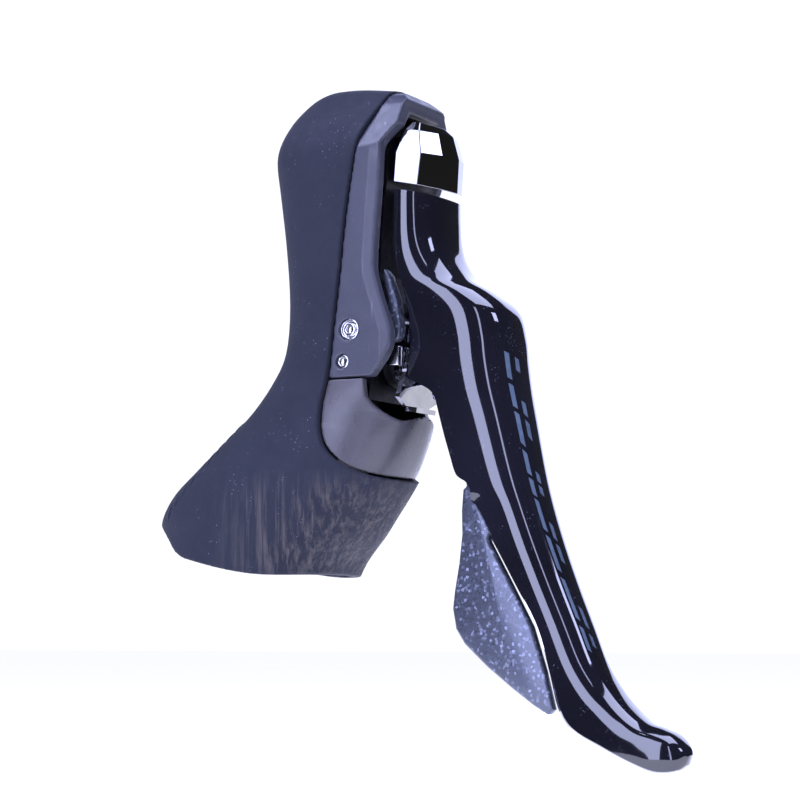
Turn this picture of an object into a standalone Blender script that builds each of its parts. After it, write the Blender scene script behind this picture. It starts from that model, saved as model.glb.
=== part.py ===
"""Right-hand brake and shift lever for a drop handlebar.

Frame: the origin is the centre of the handlebar clamp. +X points forwards along the handlebar at the
clamp, +Y towards the bicycle's middle, and +Z up the grip towards the horn. Sizes are in millimetres,
and MM turns them into metres.
"""

import math

import bmesh
import bpy
from mathutils import Matrix, Vector

MM = 0.001

# Driving dimensions. A cutter that has to pass right through a part reaches to FAR.
FAR = 120.0
BAR_RADIUS = 12.0
HOOD_WALL = 2.2
FIT_GAP = 0.3
BRACKET_INSET = HOOD_WALL + FIT_GAP
COVER_INSET = 1.2
COVER_WALL = 1.8

OPENING_HALF = 11.5
CAVITY_REAR = 25.5

PIVOT = (33.2, 40.6)
AXLE_RADIUS = 2.5
AXLE_HALF = 14.4
BUSH_RADIUS = 3.35
STOP_PIN = (31.3, 33.1)
STOP_PIN_RADIUS = 1.6
RUNNING_GAP = 0.12

SHIFT_CENTRE = Vector((50.0, 0.0, 33.0))
SHIFT_TILT = math.radians(10.0)
SHIFT_AXLE_RADIUS = 2.0
PAWL_PIN_RADIUS = 0.95

CARRIER_HALF = 10.9
CARRIER_WALL = 2.3
ANCHOR = (33.4, 62.0)
ANCHOR_TRUNNION = 2.05
ANCHOR_BARREL = 3.2
REACH_SCREW = (5.0, 69.0)
REACH_SCREW_RADIUS = 1.6
CAP_SCREW = (0.0, 83.5)
CAP_SCREW_RADIUS = 1.15

BLADE_WALL = 1.7

CLAMP_X = 14.0
BAND_WIDTH = 12.0
BAND_THICK = 1.2
NUT_PLATE = (15.6, 18.2)
NUT_PLATE_HALF = 3.0
CLAMP_BOLT_RADIUS = 2.4
CLAMP_HEAD_SEAT = 22.0
CASING_HEIGHT = 33.0
CASING_DEPTH = 20.6
CASING_SIDE = 6.2
CASING_CUPS = {"brake": (1, 3.2, 2.5), "shift": (-1, 2.9, 2.1)}
COVER_SCREW = (31.0, 17.5)
COVER_SCREW_RADIUS = 1.15


# ---------------------------------------------------------------- scene and materials


def clear_scene():
    for obj in list(bpy.data.objects):
        bpy.data.objects.remove(obj, do_unlink=True)


def material(name, colour, roughness, metallic=0.0):
    made = bpy.data.materials.new(name)
    made.use_nodes = True
    shader = made.node_tree.nodes["Principled BSDF"]
    shader.inputs["Base Color"].default_value = (*colour, 1.0)
    shader.inputs["Roughness"].default_value = roughness
    shader.inputs["Metallic"].default_value = metallic
    return made


# ---------------------------------------------------------------- mesh builders (millimetres)


def mesh_object(name, points, faces, surface=None, place=None):
    """A mesh object with its faces turned outwards. place is a matrix in millimetres."""
    shape = bmesh.new()
    place = place or Matrix.Identity(4)
    corners = [shape.verts.new((place @ Vector(point)) * MM) for point in points]
    for face in faces:
        shape.faces.new([corners[index] for index in face])
    bmesh.ops.recalc_face_normals(shape, faces=shape.faces)
    bmesh.ops.triangulate(shape, faces=shape.faces)
    mesh = bpy.data.meshes.new(name)
    shape.to_mesh(mesh)
    shape.free()
    mesh.shade_smooth()
    mesh.set_sharp_from_angle(angle=math.radians(32))
    obj = bpy.data.objects.new(name, mesh)
    bpy.context.collection.objects.link(obj)
    if surface:
        mesh.materials.append(surface)
    return obj


def loft(name, rings, surface=None, place=None):
    """A closed body through rings of equal length, with a flat cap on each end."""
    count = len(rings[0])
    points = [point for ring in rings for point in ring]
    faces = [list(range(count)), list(range(len(points) - count, len(points)))]
    for level in range(len(rings) - 1):
        for index in range(count):
            after = (index + 1) % count
            low = level * count
            faces.append([low + index, low + after, low + count + after, low + count + index])
    return mesh_object(name, points, faces, surface, place)


def spread(axis, pair, along):
    """The point with the pair on the two axes other than axis, and along on axis."""
    first, second = pair
    return {"X": (along, first, second), "Y": (first, along, second), "Z": (first, second, along)}[axis]


def prism(name, outline, low, high, axis="Y", surface=None, place=None):
    rings = [[spread(axis, pair, along) for pair in outline] for along in (low, high)]
    return loft(name, rings, surface, place)


def circle(radius, centre=(0.0, 0.0), segments=20):
    turns = [2 * math.pi * step / segments for step in range(segments)]
    return [(centre[0] + radius * math.cos(turn), centre[1] + radius * math.sin(turn)) for turn in turns]


def rod(name, radius, low, high, axis="Y", centre=(0.0, 0.0), segments=20, surface=None, place=None):
    return prism(name, circle(radius, centre, segments), low, high, axis, surface, place)


def turned(name, profile, axis="Y", centre=(0.0, 0.0), segments=20, surface=None, place=None):
    """A ring-shaped body: the closed profile of (radius, along) turned about the axis."""
    points = []
    for step in range(segments):
        turn = 2 * math.pi * step / segments
        for radius, along in profile:
            pair = (centre[0] + radius * math.cos(turn), centre[1] + radius * math.sin(turn))
            points.append(spread(axis, pair, along))
    count = len(profile)
    faces = []
    for step in range(segments):
        here = step * count
        there = (step + 1) % segments * count
        for index in range(count):
            after = (index + 1) % count
            faces.append([here + index, here + after, there + after, there + index])
    return mesh_object(name, points, faces, surface, place)


def washer(name, outer, inner, low, high, axis="Y", centre=(0.0, 0.0), surface=None, place=None):
    profile = [(inner, low), (outer, low), (outer, high), (inner, high)]
    return turned(name, profile, axis, centre, 20, surface, place)


def stepped(name, steps, axis, centre, segments, surface=None, place=None):
    """A solid round body through a list of (radius, along)."""
    rings = []
    for radius, along in steps:
        rings.append([spread(axis, pair, along) for pair in circle(radius, centre, segments)])
    return loft(name, rings, surface, place)


def box(name, low, high, surface=None, place=None):
    outline = [(low[0], low[1]), (high[0], low[1]), (high[0], high[1]), (low[0], high[1])]
    return prism(name, outline, low[2], high[2], "Z", surface, place)


def wire(name, route, radius, sides=8, surface=None, place=None):
    """A round wire along a route of points, with flat ends."""
    route = [Vector(point) for point in route]
    rings = []
    normal = None
    for index, point in enumerate(route):
        before = route[max(index - 1, 0)]
        after = route[min(index + 1, len(route) - 1)]
        along = (after - before).normalized()
        if normal is None:
            normal = along.orthogonal().normalized()
        normal = (normal - along * normal.dot(along)).normalized()
        side = along.cross(normal)
        ring = []
        for step in range(sides):
            turn = 2 * math.pi * step / sides
            ring.append(point + normal * radius * math.cos(turn) + side * radius * math.sin(turn))
        rings.append(ring)
    return loft(name, rings, surface, place)


def cut(obj, cutter, operation="DIFFERENCE"):
    """Keeps the cutter as a hidden helper and adds the Boolean to the object."""
    change = obj.modifiers.new(cutter.name, "BOOLEAN")
    change.operation = operation
    change.solver = "EXACT"
    change.object = cutter
    cutter.hide_render = True
    cutter.display_type = "WIRE"
    return obj


def join(obj, other):
    return cut(obj, other, "UNION")


def unit_place():
    """The shift unit's own axes: its X runs along the shift axle, which drops towards the front."""
    return Matrix.Translation(SHIFT_CENTRE) @ Matrix.Rotation(SHIFT_TILT, 4, "Y")


def in_unit(x, y, z):
    return unit_place() @ Vector((x, y, z))


def put_origin(obj, point):
    """Moves an object's origin to a joint's axis without moving its mesh in the world."""
    target = Vector(point) * MM
    obj.data.transform(Matrix.Translation(-target))
    obj.location = target


# ---------------------------------------------------------------- the grip's shape

# Height, rear, front, half width, where the section is widest, and how square its front is.
GRIP_STATIONS = [
    (-20.0, -27.9, 20.4, 19.5, 6.0, 2.5),
    (-13.6, -27.9, 24.1, 19.5, 7.0, 2.5),
    (-7.0, -27.9, 30.4, 19.5, 8.0, 2.5),
    (-2.3, -27.6, 34.2, 19.5, 8.0, 2.5),
    (3.4, -24.0, 38.4, 19.2, 10.0, 2.6),
    (9.0, -17.4, 42.0, 18.7, 13.0, 2.6),
    (15.9, -8.8, 45.0, 18.0, 17.0, 2.6),
    (22.5, -0.6, 47.4, 17.3, 21.0, 2.6),
    (30.1, 5.9, 52.0, 16.8, 25.0, 4.0),
    (37.0, 9.3, 60.0, 16.5, 28.0, 8.0),
    (48.0, 10.2, 60.0, 16.5, 30.0, 8.0),
    (62.0, 9.1, 60.0, 16.5, 30.0, 8.0),
    (76.0, 7.0, 60.0, 16.4, 30.0, 8.0),
    (84.0, 5.8, 60.0, 16.1, 29.0, 8.0),
    (88.5, 6.4, 60.0, 14.8, 28.0, 8.0),
    (93.0, 8.6, 60.0, 12.3, 27.0, 8.0),
    (96.5, 11.6, 56.0, 9.9, 26.0, 5.0),
    (99.3, 15.6, 42.0, 7.6, 24.0, 3.0),
    (101.0, 19.4, 33.0, 4.8, 23.4, 2.5),
    (101.8, 22.4, 27.0, 2.0, 24.0, 2.2),
]
REAR_POWER = 2.3
HORN_BASE = 88.0
HORN_TOP = 101.8


def grip_ring(station, inset, sides=30):
    height, rear, front, half, widest, power = station
    height -= inset * min(max((height - HORN_BASE) / (HORN_TOP - HORN_BASE), 0.0), 1.0)
    half = max(half - inset, 0.8)
    behind = max(widest - rear - inset, 1.0)
    ahead = max(front - inset - widest, 1.0)
    ring = []
    for step in range(sides):
        turn = 2 * math.pi * (step + 0.5) / sides
        reach, shape = (ahead, power) if math.cos(turn) > 0 else (behind, REAR_POWER)
        x = widest + reach * math.copysign(abs(math.cos(turn)) ** (2 / shape), math.cos(turn))
        y = half * math.copysign(abs(math.sin(turn)) ** (2 / shape), math.sin(turn))
        ring.append((x, y, height))
    return ring


def grip(name, inset, drop=0.0, surface=None):
    """The grip's outer form, moved inwards by inset. drop lengthens it downwards."""
    rings = [grip_ring(station, inset) for station in GRIP_STATIONS]
    lowest = [(x, y, z - drop) for x, y, z in rings[0]]
    return loft(name, ([lowest] if drop else []) + rings, surface)


RIM = [(-40, -1), (-27.0, -3.4), (-21.1, -6.4), (-15.9, -11.9), (-8.5, -13.6), (1.8, -15.8),
       (12, -17.1), (24.5, -16.6), (33, -15.5), (60, -14)]
HOOD_EDGE = [(43.3, 96.2), (39.7, 93.7), (37.2, 90.3), (35.8, 87.8), (34.7, 83.9), (33.0, 73.7),
             (31.8, 66.4), (30.3, 52.0), (28.8, 41.0), (27.5, 29.1), (26.0, 24.4), (25.5, 19.6),
             (25.8, 16.0), (27.2, 12.4), (30.0, 9.5), (34.1, 7.0), (39.0, 5.5), (43.6, 5.2)]
BRACKET_EDGE = [(45.4, 96.0), (45.1, 94.4), (44.8, 89.7), (41.6, 85.2), (41.1, 76.6), (40.3, 67.1),
                (39.5, 56.6), (39.7, 54.0), (41.3, 48.4), (43.0, 43.8), (44.3, 39.8), (44.3, 37.3),
                (43.7, 35.3), (41.7, 32.4), (39.1, 29.3)]
COVER_NOTCH = [(37.0, 40.0), (37.0, 24.8), (38.1, 22.9), (40.3, 20.6), (43.2, 18.8), (45.0, 20.2),
               (46.8, 22.6), (49.0, 23.4), (70.0, 23.4), (70.0, 40.0)]
ARCH = [(-OPENING_HALF, -30), (OPENING_HALF, -30), (OPENING_HALF, 83.0), (6.6, 91.8), (-6.6, 91.8),
        (-OPENING_HALF, 83.0)]
FOOT_END = 2.0
INNER_DROP = 6.0
CABLE_WAY = 1.3


def hood_cover(surface):
    """The rubber skin over the bracket, open in front and below."""
    hood = grip("hood_cover", 0.0, surface=surface)
    cut(hood, grip("hood_inside", HOOD_WALL, drop=INNER_DROP))
    front = [(43.3, FAR)] + HOOD_EDGE + [(FAR, 5.2), (FAR, FAR)]
    cut(hood, prism("hood_front_cut", front, -FAR, FAR))
    cut(hood, prism("hood_rim_cut", RIM + [(60, -FAR), (-40, -FAR)], -FAR, FAR))
    return hood


def bracket_body(surface):
    """The moulded bracket: a hollow front for the lever, and a foot with the clamp's seat and passages."""
    body = grip("bracket_body", BRACKET_INSET, surface=surface)
    foot_front = CAVITY_REAR - 0.9
    front = [(45.4, FAR)] + BRACKET_EDGE + [(foot_front, 29.3), (foot_front, -FAR), (FAR, -FAR), (FAR, FAR)]
    cut(body, prism("bracket_front_cut", front, -FAR, FAR))
    below = [(-FAR, -FAR), (FAR, -FAR), (FAR, FOOT_END), (-FAR, FOOT_END)]
    cut(body, prism("bracket_foot_cut", below, -FAR, FAR))
    seat = BAR_RADIUS + 0.1
    cut(body, rod("bar_seat", seat, -FAR, FAR, "X", segments=40))
    cut(body, prism("lever_opening", ARCH, CAVITY_REAR, FAR, "X"))
    half_band = BAND_WIDTH / 2 + 0.5
    for side in (-1, 1):
        name = "outer" if side < 0 else "inner"
        ends = sorted((side * seat, side * FAR))
        low = (CLAMP_X - half_band, ends[0], -FAR)
        high = (CLAMP_X + half_band, ends[1], NUT_PLATE[1] + 2.4)
        cut(body, box(f"band_way_{name}", low, high))
    half_nut = NUT_PLATE_HALF + 1.4
    low = (CLAMP_X - half_nut, -FAR, NUT_PLATE[0] - 2.4)
    high = (CLAMP_X + half_nut, FAR, NUT_PLATE[1] + 0.4)
    cut(body, box("nut_plate_way", low, high))
    cut(body, rod("bolt_way", CLAMP_BOLT_RADIUS + 0.4, 14, 60, "Z", (CLAMP_X, 0.0), 16))
    cut(body, rod("bolt_head_way", 4.9, CLAMP_HEAD_SEAT, 60, "Z", (CLAMP_X, 0.0), 16))
    cut(body, rod("axle_way", AXLE_RADIUS + RUNNING_GAP, -FAR, FAR, "Y", PIVOT))
    cut(body, rod("stop_pin_way", STOP_PIN_RADIUS + 0.15, -FAR, FAR, "Y", STOP_PIN, 14))
    for name, (side, outer, _) in CASING_CUPS.items():
        way = Matrix.Translation((0, side * CASING_SIDE, CASING_HEIGHT))
        cut(body, rod(f"{name}_holder_way", outer + 0.25, -FAR, CASING_DEPTH, "X", (0, 0), 16, None, way))
        cut(body, rod(f"{name}_inner_way", CABLE_WAY, -FAR, 40, "X", (0, 0), 12, None, way))
    return body


def casing_holder(name, surface):
    """A cup for the end of a cable casing, with a small hole for the inner cable at its bottom."""
    side, outer, bore = CASING_CUPS[name]
    mouth, floor, end = CASING_DEPTH - 7.0, CASING_DEPTH - 2.5, CASING_DEPTH - 0.3
    hole = 1.0
    profile = [(bore, mouth), (outer, mouth), (outer, end), (hole, end), (hole, floor), (bore, floor)]
    place = Matrix.Translation((0, side * CASING_SIDE, CASING_HEIGHT))
    return turned(f"{name}_casing_holder", profile, "X", (0, 0), 16, surface, place)


def lower_unit_cover(surface):
    """The moulded cover under the lever opening, with a notch that clears the shift unit."""
    cover = grip("lower_unit_cover", COVER_INSET, surface=surface)
    cut(cover, grip("cover_inside", COVER_INSET + COVER_WALL, drop=INNER_DROP))
    edge = [(27.7, 28.9), (26.4, 24.4), (25.9, 19.6), (26.2, 16.1), (27.6, 12.7), (30.3, 9.9), (34.3, 7.4),
            (39.1, 5.9), (43.6, 5.6), (60, 5.6), (60, 28.9)]
    cut(cover, prism("cover_outline", edge, -FAR, FAR), "INTERSECT")
    cut(cover, prism("cover_notch", COVER_NOTCH, -FAR, FAR))
    way = rod("cover_screw_way", COVER_SCREW_RADIUS + 0.15, 10, FAR, "Y", COVER_SCREW, 12)
    return cut(cover, way)


def clamp_band(surface):
    """A strap round the lower half of the bar, whose straight legs rise beside the bracket's foot."""
    inner = BAR_RADIUS + 0.15
    outer = inner + BAND_THICK
    top = NUT_PLATE[1] + 1.6
    turns = [math.pi + math.pi * step / 16 for step in range(17)]
    outline = [(outer * math.cos(turn), outer * math.sin(turn)) for turn in turns]
    outline += [(outer, top), (inner, top)]
    outline += [(inner * math.cos(turn), inner * math.sin(turn)) for turn in reversed(turns)]
    outline += [(-inner, top), (-outer, top)]
    ends = (CLAMP_X - BAND_WIDTH / 2, CLAMP_X + BAND_WIDTH / 2)
    band = prism("clamp_band", outline, *ends, "X", surface)
    half = NUT_PLATE_HALF + 0.3
    low = (CLAMP_X - half, -FAR, NUT_PLATE[0] - 0.2)
    high = (CLAMP_X + half, FAR, NUT_PLATE[1] + 0.2)
    return cut(band, box("band_window", low, high))


def clamp_nut_plate(surface):
    """The bar that joins the band's legs and takes the clamp bolt."""
    reach = 13.9
    low = (CLAMP_X - NUT_PLATE_HALF, -reach, NUT_PLATE[0])
    high = (CLAMP_X + NUT_PLATE_HALF, reach, NUT_PLATE[1])
    plate = box("clamp_nut_plate", low, high, surface)
    return cut(plate, rod("nut_thread", CLAMP_BOLT_RADIUS + 0.2, 0, FAR, "Z", (CLAMP_X, 0.0), 16))


def socket_screw(name, shank, head, start, shoulder, end, axis, centre, surface, place=None):
    """A screw whose shank runs from start to shoulder and whose socketed head ends at end."""
    socket = head * 0.5
    deep = end - (end - shoulder) * 0.6
    steps = [(shank, start), (shank, shoulder), (head, shoulder), (head, end), (socket, end), (socket, deep)]
    return stepped(name, steps, axis, centre, 12, surface, place)


def coil(name, mean, wire_radius, start, end, turns, axis, centre, tails, surface, place=None, sides=5):
    """A torsion spring: a helix along the axis whose two tails leave it along its end tangents."""
    steps = int(turns * 12)
    route = []
    for step in range(steps + 1):
        turn = 2 * math.pi * turns * step / steps
        pair = (centre[0] + mean * math.cos(turn), centre[1] + mean * math.sin(turn))
        route.append(Vector(spread(axis, pair, start + (end - start) * step / steps)))
    first = (route[0] - route[1]).normalized() * tails
    last = (route[-1] - route[-2]).normalized() * tails
    return wire(name, [route[0] + first] + route + [route[-1] + last], wire_radius, sides, surface, place)


# ---------------------------------------------------------------- lever carrier and shift unit

REAR_PLATE = (-13.9, -12.6)
SPOOL = (-12.3, -9.2)
RATCHET = (-8.9, -7.7)
INDEX = (-7.4, -6.7)
FRONT_PLATE = (-6.4, -5.2)
MAIN_SPRING = (-4.0, -2.6)
RELEASE_HUB = (-1.5, 0.3)
RELEASE_SPRING = (1.0, 2.2)
LEVER_HUB = (2.8, 5.8)
FRONT_WASHER = (6.1, 6.9)
AXLE_NUT = (7.2, 10.4)
SPOOL_GAP = 0.08
RATCHET_TIP = 7.8
RATCHET_ROOT = 6.9
PAWL_PINS = {"hold": (-5.5, 8.6), "feed": (7.6, -7.4)}
CARRIER_FOOT = (8.9, 10.6)


def lever_carrier(surface):
    """A yoke: two cheeks and a front web, standing on the shift unit's rear plate."""
    side = [(28.0, 37.0), (28.0, 47.0), (29.5, 60.0), (33.0, 76.0), (36.0, 91.0), (41.2, 91.0),
            (41.2, 77.0), (40.6, 74.0), (39.4, 62.0), (39.0, 54.0), (40.6, 48.0), (40.6, 44.0),
            (37.5, 36.0), (33.2, 34.9)]
    body = prism("lever_carrier", side, -CARRIER_HALF, CARRIER_HALF, surface=surface)
    inside = CARRIER_HALF - CARRIER_WALL
    hollow = [(0, 20), (0, 110), (40.0, 110), (38.6, 91.0), (38.6, 76.0), (37.6, 62.0), (37.2, 54.0),
              (38.6, 48.0), (38.6, 43.0), (44.0, 43.0), (44.0, 20)]
    cut(body, prism("carrier_hollow", hollow, -inside, inside))
    wide = CARRIER_HALF + 1
    arch = [(-wide, 0), (wide, 0), (wide, 82.6), (6.0, 90.9), (-6.0, 90.9), (-wide, 82.6)]
    cut(body, prism("carrier_arch", arch, 0, FAR, "X"), "INTERSECT")
    foot_in, foot_out = CARRIER_FOOT
    plate = [(-foot_out, -11.0), (foot_out, -11.0), (foot_out, 7.0), (foot_in, 7.0), (foot_in, 1.0),
             (-foot_in, 1.0), (-foot_in, 7.0), (-foot_out, 7.0)]
    join(body, box("cap_seat", (38.8, -7.6, 77.8), (47.5, 7.6, 87.4)))
    join(body, prism("rear_plate_form", plate, *REAR_PLATE, "X", None, unit_place()))
    for name, low, high in (("outer", -foot_out, -foot_in), ("inner", foot_in, foot_out)):
        foot = box(f"cheek_foot_{name}", (-19.0, low, -2.0), (REAR_PLATE[1], high, 9.0), None, unit_place())
        join(body, foot)
    cut(body, rod("carrier_axle_way", BUSH_RADIUS + 0.15, -FAR, FAR, "Y", PIVOT))
    cut(body, rod("carrier_anchor_way", ANCHOR_TRUNNION + 0.15, -FAR, FAR, "Y", ANCHOR, 16))
    radius = SHIFT_AXLE_RADIUS + RUNNING_GAP
    cut(body, rod("shift_axle_way", radius, -20, 0, "X", (0, 0), 16, None, unit_place()))
    cut(body, rod("reach_screw_way", REACH_SCREW_RADIUS + 0.15, 30, 60, "X", REACH_SCREW, 14))
    cut(body, rod("cap_screw_way", CAP_SCREW_RADIUS + 0.15, 38, 60, "X", CAP_SCREW, 12))
    for name, pin in PAWL_PINS.items():
        way = rod(f"{name}_pin_way", PAWL_PIN_RADIUS + 0.15, -20, -11, "X", pin, 10, None, unit_place())
        cut(body, way)
    return body


def front_plate(surface):
    """The polished plate that closes the shift unit: a disc with a lower tongue folded forwards."""
    outline = [(-9.0, -9.4), (-5.0, -11.4), (5.0, -11.4), (9.6, -9.4), (9.6, -5.2), (7.3, -1.5), (7.3, 2.5),
               (4.6, 6.0), (0.0, 7.4), (-3.6, 7.2), (-3.6, 10.2), (-7.3, 10.2), (-7.4, 6.4), (-7.3, 2.5),
               (-7.3, -1.5)]
    plate = prism("unit_front_plate", outline, *FRONT_PLATE, "X", surface, unit_place())
    tongue = box("plate_tongue", (-5.6, -4.6, -12.4), (-2.6, 4.6, -11.2), None, unit_place())
    join(plate, tongue)
    radius = SHIFT_AXLE_RADIUS + RUNNING_GAP
    cut(plate, rod("plate_axle_way", radius, -20, 10, "X", (0, 0), 16, None, unit_place()))
    for name, pin in PAWL_PINS.items():
        way = rod(f"plate_{name}_way", PAWL_PIN_RADIUS + 0.15, -20, -1, "X", pin, 10, None, unit_place())
        cut(plate, way)
    return plate


def cable_spool(surface):
    """The grooved drum that winds the shift cable."""
    low, high = SPOOL
    hole = SHIFT_AXLE_RADIUS + SPOOL_GAP
    flange, groove = 7.4, 6.0
    profile = [(hole, low), (flange, low), (flange, low + 0.7), (groove, low + 1.2), (groove, high - 1.2),
               (flange, high - 0.7), (flange, high), (hole, high)]
    return turned("cable_spool", profile, "X", (0, 0), 24, surface, unit_place())


def toothed_ring(name, count, root, tip, ends, lean, surface):
    """A flat wheel whose teeth peak at the share lean of each pitch."""
    outline = []
    for tooth in range(count):
        for share, radius in ((0.0, root), (lean, tip), (min(lean + 0.2, 0.95), tip)):
            turn = 2 * math.pi * (tooth + share) / count
            outline.append((radius * math.cos(turn), radius * math.sin(turn)))
    wheel = prism(name, outline, *ends, "X", surface, unit_place())
    hole = SHIFT_AXLE_RADIUS + SPOOL_GAP
    return cut(wheel, rod(f"{name}_bore", hole, -20, 0, "X", (0, 0), 20, None, unit_place()))


def pawl(name, pin, surface):
    """A hooked arm that turns on its pin and rests just clear of the ratchet's teeth."""
    towards = Vector((-pin[0], -pin[1])).normalized()
    across = Vector((-towards.y, towards.x))
    centre = Vector(pin)
    reach = centre.length - RATCHET_TIP
    nose = centre + across * 4.2 + towards * (reach + 1.1)
    outline = [centre - across * 1.9 - towards * 0.4, centre - across * 1.4 + towards * 1.5,
               centre + across * 1.2 + towards * 1.7, nose - across * 1.2 - towards * 0.6,
               nose - towards * 0.8, nose + across * 0.9 - towards * 2.0,
               centre + across * 1.6 - towards * 1.7, centre - across * 0.8 - towards * 1.9]
    arm = prism(name, outline, *RATCHET, "X", surface, unit_place())
    cut(arm, rod(f"{name}_bore", PAWL_PIN_RADIUS + 0.15, -20, 0, "X", pin, 10, None, unit_place()))
    put_origin(arm, in_unit(RATCHET[0], *pin))
    return arm


# The cap's rear, side corner, facet edge, ridge, half width, height and slope, from bottom to top.
CAP_LEVELS = [
    (42.4, 48.4, 52.4, 54.0, 10.4, 76.0, 0.21),
    (43.0, 49.4, 53.0, 54.5, 10.4, 83.0, 0.1),
    (44.9, 48.6, 51.6, 52.9, 9.4, 88.4, 0.1),
    (46.2, 48.0, 49.6, 50.6, 7.6, 90.6, 0.2),
]


def name_plate(surface):
    """A faceted cap with a low ridge down its front."""
    rings = []
    for rear, corner, near, ridge, half, level, slope in CAP_LEVELS:
        plan = [(rear, -half), (corner, -half), (near, -half * 0.5), (ridge, 0), (near, half * 0.5),
                (corner, half), (rear, half)]
        rings.append([(x, y, level - slope * (x - rear)) for x, y in plan])
    cap = loft("name_plate", rings, surface)
    cut(cap, box("cap_pocket", (30.0, -8.0, 77.4), (47.9, 8.0, 87.8)))
    return cut(cap, rod("cap_thread", CAP_SCREW_RADIUS + 0.15, 40, 51, "X", CAP_SCREW, 12))


# ---------------------------------------------------------------- levers

# Front point, rear point, half width and sideways offset of the blade's sections, top to tip.
BLADE_SECTIONS = [
    ((51.9, 72.3), (42.3, 74.3), 10.5, 0.0),
    ((52.0, 67.7), (42.2, 68.5), 10.5, 0.0),
    ((52.5, 62.4), (42.1, 62.6), 10.5, 0.0),
    ((54.2, 57.6), (42.4, 57.6), 10.4, 0.0),
    ((57.8, 53.0), (43.6, 53.0), 10.3, 0.0),
    ((63.8, 49.0), (44.4, 49.0), 10.2, 0.0),
    ((68.4, 44.5), (45.2, 44.3), 10.1, 0.0),
    ((70.1, 38.3), (45.4, 38.5), 10.0, 0.0),
    ((70.7, 32.6), (44.6, 32.0), 9.9, 0.0),
    ((71.6, 26.2), (44.6, 25.0), 9.6, 0.0),
    ((73.0, 19.0), (46.0, 17.0), 9.0, 0.0),
    ((75.4, 7.1), (50.0, 3.0), 8.2, 0.0),
    ((77.6, -1.5), (60.4, 0.0), 7.7, 0.0),
    ((80.6, -10.7), (66.4, -10.0), 7.2, 0.0),
    ((84.0, -19.8), (71.8, -19.6), 6.8, 0.0),
    ((87.8, -28.9), (77.2, -29.2), 6.5, -0.2),
    ((91.5, -37.3), (80.4, -39.2), 6.3, -0.8),
    ((95.6, -43.2), (82.8, -47.6), 6.2, -1.5),
    ((99.8, -47.4), (86.4, -52.2), 6.1, -2.3),
    ((103.6, -50.0), (94.0, -56.0), 6.0, -3.1),
    ((107.6, -51.3), (101.4, -59.2), 5.8, -3.8),
    ((111.0, -52.8), (107.0, -61.0), 5.2, -4.4),
    ((113.4, -55.2), (111.4, -60.6), 3.6, -4.8),
    ((114.2, -57.0), (113.4, -59.2), 1.4, -5.0),
]
REAR_EDGE = [(40, 29.5), (44.3, 29.5), (48.6, 27.4), (51.4, 26.0), (52.8, 24.2), (53.5, 20.7), (54.8, 15.2),
             (56.2, 10.4), (57.4, 6.0), (58.8, 4.9), (60.3, 4.2), (61.3, 2.4), (61.0, -3.0), (40, -3.0)]


# The channel stops short of the curled tip, and carries on behind the blade's rear edge.
CHANNEL_TOP = ((51.9, 70.4), (42.3, 72.4), 10.5, 0.0)
CHANNEL_SECTIONS = 17
CHANNEL_BEHIND = 5.0
LEVER_BUSH_RADIUS = 3.15


def blade_ring(section, wall=0.0, behind=0.0):
    """A rounded front with straight sides. wall moves it inwards, and behind carries its sides on."""
    (front_x, front_z), (rear_x, rear_z), half, offset = section
    front, rear = Vector((front_x, 0, front_z)), Vector((rear_x, 0, rear_z))
    back = (rear - front).normalized()
    depth = (rear - front).length - wall + behind
    front = front + back * wall
    half = max(half - wall, 0.5)
    nose = min(half * 0.62, depth * 0.55)
    ring = []
    for step in range(-6, 7):
        turn = math.radians(15 * step)
        side = math.copysign(abs(math.sin(turn)) ** 0.72, math.sin(turn))
        inwards = 1 - abs(math.cos(turn)) ** 0.8
        point = front + back * nose * inwards
        ring.append((point.x, offset + half * side, point.z))
    for side, share in ((1, 0.9), (0.8, 1.0), (-0.8, 1.0), (-1, 0.9)):
        point = front + back * (nose + (depth - nose) * share)
        ring.append((point.x, offset + half * side, point.z))
    return ring


def main_lever(surface):
    """A deep channel, open behind, that closes to a solid rounded tip."""
    blade = loft("main_lever", [blade_ring(section) for section in BLADE_SECTIONS], surface)
    inner = [CHANNEL_TOP] + BLADE_SECTIONS[1:CHANNEL_SECTIONS]
    cut(blade, loft("blade_channel", [blade_ring(section, BLADE_WALL, CHANNEL_BEHIND) for section in inner]))
    cut(blade, prism("blade_rear_edge", REAR_EDGE, -FAR, FAR))
    half, high = 9.2, 6.0
    web = [(-half, -high), (half, -high), (half, high), (-half, high)]
    join(blade, prism("hub_web", web, *LEVER_HUB, "X", None, unit_place()))
    cut(blade, rod("hub_way", LEVER_BUSH_RADIUS + 0.15, -3, 9, "X", (0, 0), 18, None, unit_place()))
    put_origin(blade, SHIFT_CENTRE)
    return blade


RELEASE_SIDE = (-5.4, -3.0)
RELEASE_HUB_RADIUS = 6.4
# The release lever seen from the side: down the arm's front, round the paddle, and back up.
RELEASE_OUTLINE = [
    (48.9, 39.0), (50.5, 39.0), (51.0, 30.0), (51.3, 26.0), (55.0, 22.6), (58.0, 16.0),
    (60.6, 8.0), (64.0, 1.0), (66.4, -4.0), (64.8, -9.0), (65.0, -9.8), (70.4, -19.4),
    (75.8, -29.3), (79.0, -39.2), (81.2, -47.8), (79.8, -49.2), (75.9, -46.9), (70.7, -43.3),
    (64.1, -38.3), (58.3, -33.2), (56.0, -29.7), (55.2, -25.2), (55.6, -21.3), (56.9, -14.5),
    (57.6, -7.8), (57.8, -2.6), (58.0, 2.6), (59.0, 3.3), (57.8, 7.4), (55.8, 12.5), (52.2, 19.8),
    (51.0, 23.4), (50.2, 26.4), (49.1, 28.6),
]


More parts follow.
